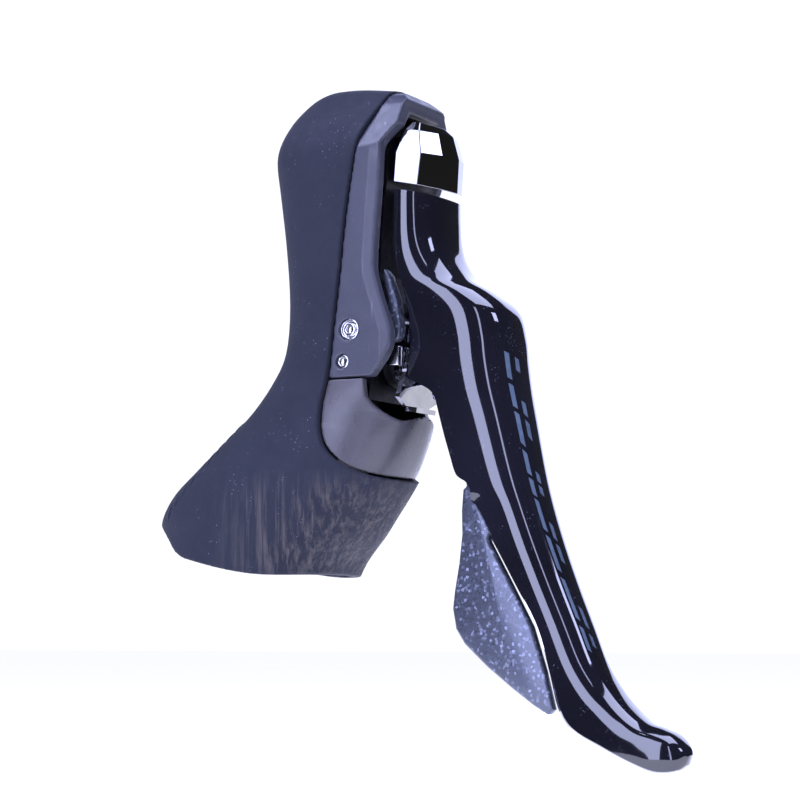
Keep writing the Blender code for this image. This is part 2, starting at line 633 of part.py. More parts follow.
def release_lever(surface):
    """A hub, an arm down the inside of the blade and a paddle behind the blade's rear edge."""
    lever = prism("release_lever", RELEASE_OUTLINE, *RELEASE_SIDE, "Y", surface)
    hub = rod("release_hub_form", RELEASE_HUB_RADIUS, *RELEASE_HUB, "X", (0, 0), 20, None, unit_place())
    join(lever, hub)
    bore = SHIFT_AXLE_RADIUS + RUNNING_GAP
    cut(lever, rod("release_bore", bore, -3, 2, "X", (0, 0), 18, None, unit_place()))
    put_origin(lever, SHIFT_CENTRE)
    return lever


def unit_side_cover(surface):
    """The cast cover on the carrier's outer cheek, seen between the bracket and the blade."""
    outline = [(39.6, 54.4), (39.8, 55.4), (41.2, 53.6), (43.2, 47.7), (44.3, 41.5), (43.9, 38.6),
               (42.3, 37.4), (40.9, 38.4), (40.9, 43.1), (40.9, 47.9), (39.6, 53.2)]
    return prism("unit_side_cover", outline, -10.6, -7.4, "Y", surface)


# ---------------------------------------------------------------- small hardware


def add_bracket_hardware(paints):
    """The brake axle with its bushes and spring, the cover's screw, the clamp's bolt and the cable cups."""
    steel, spring = paints["steel"], paints["spring"]
    axle = rod("brake_axle", AXLE_RADIUS, -AXLE_HALF, AXLE_HALF, "Y", PIVOT, 24, steel)
    for side, name in ((-1, "outer"), (1, "inner")):
        ends = sorted((side * (AXLE_HALF - 0.6), side * 20))
        cut(axle, rod(f"axle_dimple_{name}", 1.6, *ends, "Y", PIVOT, 16))
        bore = AXLE_RADIUS + 0.1
        flange = 4.2
        bush = [(bore, 8.3), (flange, 8.3), (flange, 8.5), (BUSH_RADIUS, 8.5), (BUSH_RADIUS, 10.95),
                (bore, 10.95)]
        profile = [(radius, side * along) for radius, along in bush]
        turned(f"axle_bush_{name}", profile, "Y", PIVOT, 18, paints["brass"])
    socket_screw("cover_screw", COVER_SCREW_RADIUS, 1.9, 12.6, 16.3, 17.0, "Y", COVER_SCREW, steel)
    rod("spring_stop_pin", STOP_PIN_RADIUS, -13.9, -11.15, "Y", STOP_PIN, 14, steel)
    coil("brake_return_spring", 3.35, 0.4, -7.4, -4.6, 3.25, "Y", PIVOT, 1.2, spring)
    centre = (CLAMP_X, 0.0)
    head_low = CLAMP_HEAD_SEAT + 1.4
    socket_screw("clamp_bolt", CLAMP_BOLT_RADIUS, 4.0, 13.6, head_low, 27.2, "Z", centre, steel)
    washer("clamp_washer", 4.5, 2.7, CLAMP_HEAD_SEAT + 0.2, head_low - 0.3, "Z", centre, steel)
    for name in CASING_CUPS:
        casing_holder(name, paints["black"])


def add_carrier_hardware(paints):
    """The shift unit's axle, spring, nut and pins, and the screws for reach and cap."""
    steel, spring = paints["steel"], paints["spring"]
    place = unit_place()
    radius = SHIFT_AXLE_RADIUS
    head = 2.9
    steps = [(head, -14.9), (head, -14.2), (radius, -14.2), (radius, 11.2)]
    stepped("shift_axle", steps, "X", (0, 0), 28, steel, place)
    coil("main_return_spring", 4.6, 0.45, *MAIN_SPRING, 1.25, "X", (0, 0), 1.0, spring, place)
    washer("lever_washer", 5.0, radius + 0.15, *FRONT_WASHER, "X", (0, 0), steel, place)
    nut = prism("axle_nut", circle(4.2, (0, 0), 6), *AXLE_NUT, "X", steel, place)
    cut(nut, rod("nut_bore", radius + RUNNING_GAP, 5, 12, "X", (0, 0), 16, None, place))
    pin_end = FRONT_PLATE[1] + 0.4
    for name, pin in PAWL_PINS.items():
        rod(f"{name}_pawl_pin", PAWL_PIN_RADIUS, REAR_PLATE[0], pin_end, "X", pin, 10, steel, place)
    socket_screw("reach_screw", REACH_SCREW_RADIUS, 2.6, 39.9, 33.0, 31.0, "X", REACH_SCREW, steel)
    socket_screw("cap_screw", CAP_SCREW_RADIUS, 2.2, 49.6, 38.3, 36.9, "X", CAP_SCREW, steel)


def add_lever_hardware(paints):
    """The lever's bush and the release lever's spring."""
    place = unit_place()
    low, high = LEVER_HUB
    bore = SHIFT_AXLE_RADIUS + 0.1
    ends = (low - 0.2, high + 0.15)
    outer = LEVER_BUSH_RADIUS
    profile = [(bore, ends[0]), (outer, ends[0]), (outer, ends[1]), (bore, ends[1])]
    turned("lever_bush", profile, "X", (0, 0), 18, paints["brass"], place)
    spring = paints["spring"]
    coil("release_spring", 2.55, 0.25, *RELEASE_SPRING, 1.25, "X", (0, 0), 0.8, spring, place)


def cable_anchor(surface):
    """The barrel that the brake cable's end hooks into. It turns in the carrier's cheeks."""
    inside = CARRIER_HALF - CARRIER_WALL - 0.3
    steps = [(ANCHOR_TRUNNION, -CARRIER_HALF), (ANCHOR_TRUNNION, -inside), (ANCHOR_BARREL, -inside),
             (ANCHOR_BARREL, inside), (ANCHOR_TRUNNION, inside), (ANCHOR_TRUNNION, CARRIER_HALF)]
    barrel = stepped("cable_anchor", steps, "Y", ANCHOR, 16, surface)
    cut(barrel, rod("cable_way", 1.0, -20, FAR, "Z", (ANCHOR[0], 0), 12))
    put_origin(barrel, (ANCHOR[0], 0, ANCHOR[1]))
    return barrel


def paint_set():
    return {
        "rubber": material("hood_rubber", (0.06, 0.065, 0.11), 0.8),
        "composite": material("bracket_composite", (0.09, 0.09, 0.14), 0.5),
        "cover": material("cover_plastic", (0.12, 0.11, 0.18), 0.4),
        "gloss": material("lever_gloss", (0.008, 0.008, 0.012), 0.12),
        "cap": material("cap_gloss", (0.02, 0.02, 0.025), 0.08),
        "sparkle": material("release_paint", (0.12, 0.14, 0.22), 0.35, 0.6),
        "cast": material("carrier_cast", (0.03, 0.03, 0.035), 0.55, 0.2),
        "steel": material("polished_steel", (0.6, 0.6, 0.62), 0.22, 1.0),
        "spring": material("spring_steel", (0.4, 0.4, 0.42), 0.35, 1.0),
        "brass": material("bush_bronze", (0.5, 0.36, 0.18), 0.4, 1.0),
        "black": material("black_plastic", (0.02, 0.02, 0.02), 0.5),
    }


def main():
    clear_scene()
    paints = paint_set()
    hood_cover(paints["rubber"])
    bracket_body(paints["composite"])
    lower_unit_cover(paints["cover"])
    clamp_band(paints["steel"])
    clamp_nut_plate(paints["steel"])
    add_bracket_hardware(paints)
    lever_carrier(paints["cast"])
    front_plate(paints["steel"])
    unit_side_cover(paints["sparkle"])
    name_plate(paints["cap"])
    add_carrier_hardware(paints)
    cable_anchor(paints["steel"])
    cable_spool(paints["black"])
    toothed_ring("ratchet_wheel", 24, RATCHET_ROOT, RATCHET_TIP, RATCHET, 0.7, paints["steel"])
    toothed_ring("index_plate", 12, 6.3, 7.0, INDEX, 0.3, paints["steel"])
    for name, pin in PAWL_PINS.items():
        pawl(f"{name}_pawl", pin, paints["steel"])
    main_lever(paints["gloss"])
    add_lever_hardware(paints)
    release_lever(paints["sparkle"])


main()
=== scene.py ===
"""The looks of the brake and shift lever: moulded shells, lacquered blade, materials, light and camera."""

import math

import bmesh
import bpy
from mathutils import Matrix, Vector


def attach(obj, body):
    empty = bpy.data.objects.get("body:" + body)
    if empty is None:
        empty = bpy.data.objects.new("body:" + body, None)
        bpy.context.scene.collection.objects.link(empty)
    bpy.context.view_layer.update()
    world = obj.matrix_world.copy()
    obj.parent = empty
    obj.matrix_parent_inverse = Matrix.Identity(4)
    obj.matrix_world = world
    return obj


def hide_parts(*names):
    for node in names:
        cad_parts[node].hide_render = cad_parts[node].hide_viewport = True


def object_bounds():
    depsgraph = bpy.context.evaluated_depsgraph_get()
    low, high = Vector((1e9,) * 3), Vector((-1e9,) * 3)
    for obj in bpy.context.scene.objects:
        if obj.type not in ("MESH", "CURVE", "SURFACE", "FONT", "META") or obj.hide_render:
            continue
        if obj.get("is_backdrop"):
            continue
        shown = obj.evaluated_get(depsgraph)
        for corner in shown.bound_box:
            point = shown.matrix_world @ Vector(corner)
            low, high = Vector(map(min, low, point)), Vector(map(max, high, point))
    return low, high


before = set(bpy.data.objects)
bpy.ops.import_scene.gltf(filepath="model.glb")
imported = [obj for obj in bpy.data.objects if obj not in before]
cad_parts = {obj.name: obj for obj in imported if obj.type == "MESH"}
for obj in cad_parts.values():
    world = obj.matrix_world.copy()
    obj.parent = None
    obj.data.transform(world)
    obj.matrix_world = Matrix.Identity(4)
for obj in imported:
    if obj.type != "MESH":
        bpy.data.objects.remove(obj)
cad_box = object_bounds()

# Lengths are millimetres up to the meshes, which are in metres. X is forwards, Y inwards and Z up the grip.
MM = 0.001
HOOD_WALL = 2.2
BRACKET_INSET = 2.5
STRIP_INSET = 0.5
STRIP_GAP = 0.28
STRIP_FOOT = 29.3
COVER_INSET = 1.2
COVER_WALL = 1.8
BLADE_WALL = 1.7
FAR = 120.0
BEYOND = 30.0
CORNER_CUT = 0.25
SHIFT_CENTRE = Vector((50.0, 0.0, 33.0))
SHIFT_TILT = math.radians(10.0)
SHIFT_PLACE = Matrix.Translation(SHIFT_CENTRE) @ Matrix.Rotation(SHIFT_TILT, 4, "Y")

# Height, rear, front, half width, where the section is widest, and how square its front is.
GRIP_STATIONS = [
    (-20.0, -27.9, 20.4, 19.5, 6.0, 2.5),
    (-13.6, -27.9, 24.1, 19.5, 7.0, 2.5),
    (-7.0, -27.9, 30.4, 19.5, 8.0, 2.5),
    (-2.3, -27.6, 34.2, 19.5, 8.0, 2.5),
    (3.4, -24.0, 38.4, 19.2, 10.0, 2.6),
    (9.0, -17.4, 42.0, 18.7, 13.0, 2.6),
    (15.9, -8.8, 45.0, 18.0, 17.0, 2.6),
    (22.5, -0.6, 47.4, 17.3, 21.0, 2.6),
    (30.1, 5.9, 52.0, 16.8, 25.0, 4.0),
    (37.0, 9.3, 60.0, 16.5, 28.0, 8.0),
    (48.0, 10.2, 60.0, 16.5, 30.0, 8.0),
    (62.0, 9.1, 60.0, 16.5, 30.0, 8.0),
    (76.0, 7.0, 60.0, 16.4, 30.0, 8.0),
    (84.0, 5.8, 60.0, 16.1, 29.0, 8.0),
    (88.5, 6.4, 60.0, 14.8, 28.0, 8.0),
    (93.0, 8.6, 60.0, 12.3, 27.0, 8.0),
    (96.5, 11.6, 56.0, 9.9, 26.0, 5.0),
    (99.3, 15.6, 42.0, 7.6, 24.0, 3.0),
    (101.0, 19.4, 33.0, 4.8, 23.4, 2.5),
    (101.8, 22.4, 27.0, 2.0, 24.0, 2.2),
]
REAR_POWER = 2.3
HORN_BASE = 88.0
HORN_TOP = 101.8

# Outlines in the side view (X, Z): the hood's mouth, its front edge, the bracket's front and the lower cover.
RIM = [(-40, -1), (-27.0, -3.4), (-21.1, -6.4), (-15.9, -11.9), (-8.5, -13.6), (1.8, -15.8),
       (12, -17.1), (24.5, -16.6), (33, -15.5), (60, -14)]
HOOD_EDGE = [(40.8, 101.9), (39.9, 97.4), (37.6, 91.8), (35.8, 87.8), (34.7, 83.9), (33.0, 73.7),
             (31.8, 66.4), (30.3, 52.0), (28.8, 41.0), (27.5, 29.1), (26.0, 24.4), (25.5, 19.6),
             (25.8, 16.0), (27.2, 12.4), (30.0, 9.5), (34.1, 7.0), (39.0, 5.5), (43.6, 5.2)]
BRACKET_EDGE = [(45.4, 96.0), (45.1, 94.4), (44.8, 89.7), (41.6, 85.2), (41.1, 76.6), (40.3, 67.1),
                (39.5, 56.6), (39.7, 54.0), (41.3, 48.4), (43.0, 43.8), (44.3, 39.8), (44.3, 37.3),
                (43.7, 35.3), (41.7, 32.4), (39.1, 29.3)]
COVER_NOTCH = [(37.0, 40.0), (37.0, 24.8), (38.1, 22.9), (40.3, 20.6), (43.2, 18.8), (45.0, 20.2),
               (46.8, 22.6), (49.0, 23.4), (70.0, 23.4), (70.0, 40.0)]
COVER_EDGE = [(27.7, 28.9), (26.4, 24.4), (25.9, 19.6), (26.2, 16.1), (27.6, 12.7), (30.3, 9.9),
              (34.3, 7.4), (39.1, 5.9), (43.6, 5.6), (60, 5.6), (60, 28.9)]
OPENING_HALF = 11.5
ARCH_SHOULDER = 83.0
ARCH_TOP = 91.8
ARCH_TOP_HALF = 6.6


def arch(grow=0.0, grow_shoulder=0.0, grow_top=0.0, grow_corner=0.0):
    """The opening's outline seen from the front: straight sides, slanted shoulders and a flat top."""
    half = OPENING_HALF + grow
    shoulder = ARCH_SHOULDER + grow_shoulder
    top = ARCH_TOP + grow_top
    corner = ARCH_TOP_HALF + grow_corner
    right = [(half, -BEYOND), (half, shoulder), (corner, top)]
    return right + [(-y, z) for y, z in reversed(right)]


PIVOT = (33.2, 40.6)
STOP_PIN = (31.3, 33.1)
CAVITY_REAR = 25.5

# Front point, rear point, half width and sideways offset of the blade's sections, top to tip.
BLADE_SECTIONS = [
    ((51.9, 72.3), (42.3, 74.3), 10.5, 0.0),
    ((52.0, 67.7), (42.2, 68.5), 10.5, 0.0),
    ((52.5, 62.4), (42.1, 62.6), 10.5, 0.0),
    ((54.2, 57.6), (42.4, 57.6), 10.4, 0.0),
    ((57.8, 53.0), (43.6, 53.0), 10.3, 0.0),
    ((63.8, 49.0), (44.4, 49.0), 10.2, 0.0),
    ((68.4, 44.5), (45.2, 44.3), 10.1, 0.0),
    ((70.1, 38.3), (45.4, 38.5), 10.0, 0.0),
    ((70.7, 32.6), (44.6, 32.0), 9.9, 0.0),
    ((71.6, 26.2), (44.6, 25.0), 9.6, 0.0),
    ((73.0, 19.0), (46.0, 17.0), 9.0, 0.0),
    ((75.4, 7.1), (50.0, 3.0), 8.2, 0.0),
    ((77.6, -1.5), (60.4, 0.0), 7.7, 0.0),
    ((80.6, -10.7), (66.4, -10.0), 7.2, 0.0),
    ((84.0, -19.8), (71.8, -19.6), 6.8, 0.0),
    ((87.8, -28.9), (77.2, -29.2), 6.5, -0.2),
    ((91.5, -37.3), (80.4, -39.2), 6.3, -0.8),
    ((95.6, -43.2), (82.8, -47.6), 6.2, -1.5),
    ((99.8, -47.4), (86.4, -52.2), 6.1, -2.3),
    ((103.6, -50.0), (94.0, -56.0), 6.0, -3.1),
    ((107.6, -51.3), (101.4, -59.2), 5.8, -3.8),
    ((111.0, -52.8), (107.0, -61.0), 5.2, -4.4),
    ((113.4, -55.2), (111.4, -60.6), 3.6, -4.8),
    ((114.2, -57.0), (113.4, -59.2), 1.4, -5.0),
]
REAR_EDGE = [(40, 29.5), (44.3, 29.5), (48.6, 27.4), (51.4, 26.0), (52.8, 24.2), (53.5, 20.7),
             (54.8, 15.2), (56.2, 10.4), (57.4, 6.0), (58.8, 4.9), (60.3, 4.2),
             (61.3, 2.4), (61.0, -3.0), (40, -3.0)]


# ---------------------------------------------------------------- mesh builders (millimetres)


def mesh_object(name, points, faces, smooth_angle=35.0):
    shape = bmesh.new()
    corners = [shape.verts.new(Vector(point) * MM) for point in points]
    for face in faces:
        shape.faces.new([corners[index] for index in face])
    bmesh.ops.recalc_face_normals(shape, faces=shape.faces)
    mesh = bpy.data.meshes.new(name)
    shape.to_mesh(mesh)
    shape.free()
    mesh.shade_smooth()
    mesh.set_sharp_from_angle(angle=math.radians(smooth_angle))
    obj = bpy.data.objects.new(name, mesh)
    bpy.context.scene.collection.objects.link(obj)
    return obj


def loft(name, rings, smooth_angle=35.0):
    """A closed skin over rings of equally many points, capped at both ends."""
    count = len(rings[0])
    points = [point for ring in rings for point in ring]
    faces = [list(range(count)), list(range(len(points) - count, len(points)))]
    for level in range(len(rings) - 1):
        for index in range(count):
            after = (index + 1) % count
            low = level * count
            faces.append([low + index, low + after, low + count + after, low + count + index])
    return mesh_object(name, points, faces, smooth_angle)


def spread(axis, pair, along):
    """A point from two coordinates across an axis and one along it."""
    first, second = pair
    return {"X": (along, first, second), "Y": (first, along, second), "Z": (first, second, along)}[axis]


def prism(name, outline, low, high, axis="Y"):
    return loft(name, [[spread(axis, pair, along) for pair in outline] for along in (low, high)])


def circle(radius, centre, segments=48):
    turns = [2 * math.pi * step / segments for step in range(segments)]
    return [(centre[0] + radius * math.cos(turn), centre[1] + radius * math.sin(turn)) for turn in turns]


def curve_through(points, share, rounds=2):
    """Cuts the corners of a polyline round after round, so that a given outline becomes a smooth one."""
    for _ in range(rounds):
        finer = [points[0]]
        for before, after in zip(points, points[1:]):
            first = [a + (b - a) * share for a, b in zip(before, after)]
            second = [a + (b - a) * (1 - share) for a, b in zip(before, after)]
            finer += [tuple(first), tuple(second)]
        points = finer + [points[-1]]
    return points


def between(rows, place):
    """Catmull-Rom interpolation of rows of numbers at a fractional row index."""
    low = min(int(place), len(rows) - 2)
    part = place - low
    picked = [rows[min(max(low + step, 0), len(rows) - 1)] for step in (-1, 0, 1, 2)]
    result = []
    for a, b, c, d in zip(*picked):
        slope_in, slope_out = (c - a) / 2, (d - b) / 2
        cubic = (2 * b - 2 * c + slope_in + slope_out) * part**3
        square = (3 * c - 3 * b - 2 * slope_in - slope_out) * part**2
        result.append(cubic + square + slope_in * part + b)
    return result


def apply_modifiers(obj):
    bpy.context.view_layer.update()
    graph = bpy.context.evaluated_depsgraph_get()
    mesh = bpy.data.meshes.new_from_object(obj.evaluated_get(graph))
    obj.modifiers.clear()
    obj.data = mesh
    return obj


def cut(obj, cutter, operation="DIFFERENCE"):
    """Applies a Boolean at once and removes its cutter."""
    change = obj.modifiers.new(cutter.name, "BOOLEAN")
    change.operation = operation
    change.solver = "EXACT"
    change.object = cutter
    apply_modifiers(obj)
    bpy.data.objects.remove(cutter, do_unlink=True)
    return obj


def bevel_edges(obj, width, angle, segments):
    bevel = obj.modifiers.new("edges", "BEVEL")
    bevel.width = width * MM
    bevel.segments = segments
    bevel.limit_method = "ANGLE"
    bevel.angle_limit = math.radians(angle)


def smooth_shading(obj, sharp_angle):
    obj.data.shade_smooth()
    obj.data.set_sharp_from_angle(angle=math.radians(sharp_angle))
    return obj


def rounded(obj, width, angle=30.0, segments=4):
    """A small piece with its edges rounded off."""
    bevel_edges(obj, width, angle, segments)
    return smooth_shading(apply_modifiers(obj), 35.0)


def remesh(obj, voxel, rounds):
    """Turns a cut solid into an even skin whose edges are slightly rounded."""
    change = obj.modifiers.new("skin", "REMESH")
    change.mode = "VOXEL"
    change.voxel_size = voxel * MM
    soft = obj.modifiers.new("soft", "SMOOTH")
    soft.factor = 0.5
    soft.iterations = rounds
    apply_modifiers(obj)
    keep_in_box(obj)
    obj.data.shade_smooth()
    return obj


def keep_in_box(obj):
    """Pulls back the few points that the even skin puts a fraction of a millimetre outside the CAD box."""
    lowest, highest = cad_box
    for vertex in obj.data.vertices:
        for axis in range(3):
            vertex.co[axis] = min(max(vertex.co[axis], lowest[axis]), highest[axis])


# ---------------------------------------------------------------- the grip's shape


def fine_stations(count=70):
    """The grip's sections at even steps between the listed stations."""
    last = len(GRIP_STATIONS) - 1
    return [between(GRIP_STATIONS, last * step / count) for step in range(count + 1)]


def grip_point(station, inset, turn):
    """A point of a section's superellipse, drawn in by an inset, with turn measured round from the front."""
    height, rear, front, half, widest, power = station
    height -= inset * min(max((height - HORN_BASE) / (HORN_TOP - HORN_BASE), 0.0), 1.0)
    half = max(half - inset, 0.8)
    reach = max(front - inset - widest, 1.0) if math.cos(turn) > 0 else max(widest - rear - inset, 1.0)
    shape = power if math.cos(turn) > 0 else REAR_POWER
    x = widest + reach * math.copysign(abs(math.cos(turn)) ** (2 / shape), math.cos(turn))
    y = half * math.copysign(abs(math.sin(turn)) ** (2 / shape), math.sin(turn))
    return (x, y, height)


def grip(name, inset, drop=0.0, sides=96):
    turns = [2 * math.pi * (step + 0.5) / sides for step in range(sides)]
    rings = [[grip_point(station, inset, turn) for turn in turns] for station in fine_stations()]
    lowest = [(x, y, z - drop) for x, y, z in rings[0]]
    return loft(name, ([lowest] if drop else []) + rings)


def make_hood():
    """The rubber hood: a thin shell, open at the front edge and at the mouth."""
    hood = grip("hood_skin", 0.0)
    cut(hood, grip("inside", HOOD_WALL, drop=6.0))
    edge = curve_through(HOOD_EDGE, CORNER_CUT)
    cut(hood, prism("front", [(edge[0][0], FAR)] + edge + [(FAR, 5.2), (FAR, FAR)], -BEYOND, BEYOND))
    cut(hood, prism("rim", curve_through(RIM, CORNER_CUT) + [(60, -60), (-40, -60)], -BEYOND, BEYOND))
    return remesh(hood, 0.42, 3)


# The strip beside the opening, seen from the front: flat sides, slanted shoulders and a flat top.
STRIP_HALF = 15.6
STRIP_SHOULDER = 84.4
STRIP_TOP = 98.4
STRIP_TOP_HALF = 8.6
STRIP_FACETS = [(-STRIP_HALF, -FAR), (STRIP_HALF, -FAR), (STRIP_HALF, STRIP_SHOULDER),
                (STRIP_TOP_HALF, STRIP_TOP), (-STRIP_TOP_HALF, STRIP_TOP), (-STRIP_HALF, STRIP_SHOULDER)]
LIP = 1.0
LIP_STEP = 0.55


def strip_front(height):
    """The X of the bracket's front edge at a height."""
    rows = [row for row in BRACKET_EDGE if row[1] > 37.0]
    for (x_high, high), (x_low, low) in zip(rows, rows[1:]):
        if low <= height <= high:
            return x_low + (x_high - x_low) * (height - low) / (high - low)
    return rows[0][0] if height > rows[0][1] else rows[-1][0]


CREASE_BEHIND = 2.6
CREASE_DEPTH = 1.1
CREASE_ENDS = 80.0
CREASE_FADE = 6.0
CREASE_STEP = 1.4


def edge_bevel(side):
    """The wedge that leaves a crease down the middle of the strip's flank."""
    rings = []
    for step in range(40):
        height = 30.0 + CREASE_STEP * step
        front = strip_front(height)
        fade = 1.0 - max(height - CREASE_ENDS, 0.0) / CREASE_FADE
        near = STRIP_HALF - 0.05
        deep = near - CREASE_DEPTH * max(fade, 0.03)
        rear, ahead = front - CREASE_BEHIND, front + 2.0
        plan = [(rear, near), (ahead, deep), (ahead, BEYOND), (rear, BEYOND)]
        rings.append([(x, side * y, height) for x, y in plan])
    return loft("edge_bevel", rings)


def lip_step():
    """What sets the black lip round the opening a little behind the strip."""
    outline = arch(LIP, LIP / 2, LIP * 1.02, LIP / 2)
    step = prism("lip", outline, CAVITY_REAR + 4.0, 70, "X")
    edge = BRACKET_EDGE[:4] + curve_through(BRACKET_EDGE[4:], CORNER_CUT)
    front = [(x - LIP_STEP, z) for x, z in edge]
    below = STRIP_FOOT - 9.3
    profile = [(front[0][0], FAR)] + front
    profile += [(CAVITY_REAR, STRIP_FOOT), (CAVITY_REAR, below), (FAR, below), (FAR, FAR)]
    return cut(step, prism("ahead", profile, -BEYOND, BEYOND), "INTERSECT")


def raised_strip():
    """The bare strip round the opening, which stands almost as high as the rubber beside it."""
    strip = grip("raised_strip", STRIP_INSET)
    edge = [(x + STRIP_GAP, z) for x, z in curve_through(HOOD_EDGE, CORNER_CUT) if z > STRIP_FOOT]
    outline = [(edge[0][0], FAR)] + edge + [(edge[-1][0], STRIP_FOOT), (FAR, STRIP_FOOT), (FAR, FAR)]
    return cut(strip, prism("behind", outline, -BEYOND, BEYOND), "INTERSECT")


STRIP_BROW = (42.2, 99.2)
FOOT_HEIGHT = 2.0
SEAT_RADIUS = 12.1
BAND_WAY = [(7.5, -30.0), (20.5, -30.0), (20.5, 20.6), (7.5, 20.6)]
PLATE_WAY = [(9.6, 13.2), (18.4, 13.2), (18.4, 18.6), (9.6, 18.6)]
PLATE_WAY_HALF = 25.0
BOLT_CENTRE = (14.0, 0.0)
BOLT_WAY_RADIUS = 4.9
AXLE_WAY_RADIUS = 2.62
PIN_WAY_RADIUS = 1.75


def make_bracket():
    """The moulded bracket: its raised strip, the lever opening with its lip, the clamp seat and the bores."""
    body = grip("bracket_skin", BRACKET_INSET)
    cut(body, raised_strip(), "UNION")
    foot = CAVITY_REAR - 0.9
    edge = BRACKET_EDGE[:4] + curve_through(BRACKET_EDGE[4:], CORNER_CUT)
    front = [(STRIP_BROW[0], FAR), STRIP_BROW] + edge
    front += [(foot, STRIP_FOOT), (foot, -FAR), (FAR, -FAR), (FAR, FAR)]
    cut(body, prism("front", front, -BEYOND, BEYOND))
    below = [(-FAR, -FAR), (FAR, -FAR), (FAR, FOOT_HEIGHT), (-FAR, FOOT_HEIGHT)]
    cut(body, prism("foot", below, -BEYOND, BEYOND))
    cut(body, prism("seat", circle(SEAT_RADIUS, (0, 0), 64), -FAR, FAR, "X"))
    cut(body, prism("facets", STRIP_FACETS, -FAR, FAR, "X"), "INTERSECT")
    cut(body, prism("opening", arch(), CAVITY_REAR, FAR, "X"))
    for side in (-1, 1):
        cut(body, edge_bevel(side))
    cut(body, lip_step())
    for side in (-1, 1):
        low, high = sorted((side * SEAT_RADIUS, side * BEYOND))
        cut(body, prism("band_way", BAND_WAY, low, high))
    cut(body, prism("plate_way", PLATE_WAY, -PLATE_WAY_HALF, PLATE_WAY_HALF))
    cut(body, prism("bolt_way", circle(BOLT_WAY_RADIUS, BOLT_CENTRE, 40), 22, 60, "Z"))
    cut(body, prism("axle_way", circle(AXLE_WAY_RADIUS, PIVOT), -BEYOND, BEYOND))
    cut(body, prism("pin_way", circle(PIN_WAY_RADIUS, STOP_PIN), -BEYOND, BEYOND))
    for side, radius in ((1, 3.45), (-1, 3.15)):
        cut(body, prism("holder_way", circle(radius, (side * 6.2, 33.0), 32), -60, 20.6, "X"))
    return remesh(body, 0.4, 2)


AXLE_RADIUS = 2.5
AXLE_HALF = 15.3
PAST_HEAD = 20.0
GROOVE_RADII = (1.5, 2.05)
GROOVE_DEPTH = 0.6
SOCKET_RADIUS = 0.95
SOCKET_DEPTH = 1.2
PIN_RADIUS = 1.6
PIN_ENDS = (-15.1, -11.2)
DIMPLE_RADIUS = 0.95
DIMPLE_DEPTH = 0.9


def make_axle():
    """The brake axle: a polished head at each end with a turned groove and a hexagon socket."""
    axle = prism("axle_skin", circle(AXLE_RADIUS, PIVOT, 64), -AXLE_HALF, AXLE_HALF)
    inner, outer = GROOVE_RADII
    for side in (-1, 1):
        low, high = sorted((side * (AXLE_HALF - GROOVE_DEPTH), side * PAST_HEAD))
        groove = prism("groove", circle(outer, PIVOT), low, high)
        cut(groove, prism("core", circle(inner, PIVOT), -BEYOND, BEYOND))
        cut(axle, groove)
        low, high = sorted((side * (AXLE_HALF - SOCKET_DEPTH), side * PAST_HEAD))
        cut(axle, prism("socket", circle(SOCKET_RADIUS, PIVOT, 6), low, high))
    return rounded(axle, 0.09, 40, 2)


def make_stop_pin():
    """The pin that the brake's return spring rests on, with a dimpled outer end."""
    pin = prism("stop_pin_skin", circle(PIN_RADIUS, STOP_PIN), *PIN_ENDS)
    cut(pin, prism("dimple", circle(DIMPLE_RADIUS, STOP_PIN, 32), -PAST_HEAD, PIN_ENDS[0] + DIMPLE_DEPTH))
    return rounded(pin, 0.12, 40, 2)


def blacken_inside(obj, middle):
    """Gives the second material to every face that does not look outwards from a line at X = middle."""
    for face in obj.data.polygons:
        outward = Vector((face.center.x - middle * MM, face.center.y, 0.0)).normalized()
        face.material_index = 0 if face.normal.dot(outward) > 0.35 else 1


def make_cover():
    """The lower unit cover: a thin shell with a round outer edge and a notch for the shift unit."""
    cover = grip("cover_skin", COVER_INSET)
    cut(cover, grip("inside", COVER_INSET + COVER_WALL, drop=6.0))
    outline = curve_through(COVER_EDGE[:9], CORNER_CUT) + COVER_EDGE[9:]
    cut(cover, prism("outline", outline, -BEYOND, BEYOND), "INTERSECT")
    notch = COVER_NOTCH[:1] + curve_through(COVER_NOTCH[1:8], CORNER_CUT) + COVER_NOTCH[8:]
    cut(cover, prism("notch", notch, -BEYOND, BEYOND))
    return remesh(cover, 0.3, 3)


# ---------------------------------------------------------------- levers


def on_shift_axle(name, outline, low, high):
    """A prism along the shift axle, between two distances from its centre."""
    rings = [[SHIFT_PLACE @ Vector((along, y, z)) for y, z in outline] for along in (low, high)]
    return loft(name, rings)


def blade_frame(row):
    """A section's front point, the way back from it, its depth, half width and sideways offset."""
    front_x, front_z, rear_x, rear_z, half, offset = row
    front, rear = Vector((front_x, 0, front_z)), Vector((rear_x, 0, rear_z))
    return front, (rear - front).normalized(), (rear - front).length, half, offset


def nose_shape(half, depth, outer):
    """Length and powers of the front's curve. The outer side turns into the front more gently."""
    nose = min(half * 0.62, depth * 0.55)
    return (min(nose * 1.9, depth * 0.84), 2.15, 2.5) if outer else (nose, 2.5, 2.78)


def blade_point(row, turn, wall=0.0):
    """A point of the blade's rounded front, with turn from -90 to 90 degrees across it."""
    front, back, depth, half, offset = blade_frame(row)
    depth -= wall
    half = max(half - wall, 0.5)
    nose, lengthways, across = nose_shape(half, depth, turn < 0)
    side = math.copysign(abs(math.sin(turn)) ** (2 / across), math.sin(turn))
    inwards = 1 - abs(math.cos(turn)) ** (2 / lengthways)
    point = front + back * (wall + nose * inwards)
    return Vector((point.x, offset + half * side, point.z))


FLANK_LEAN = math.tan(math.radians(4.5))


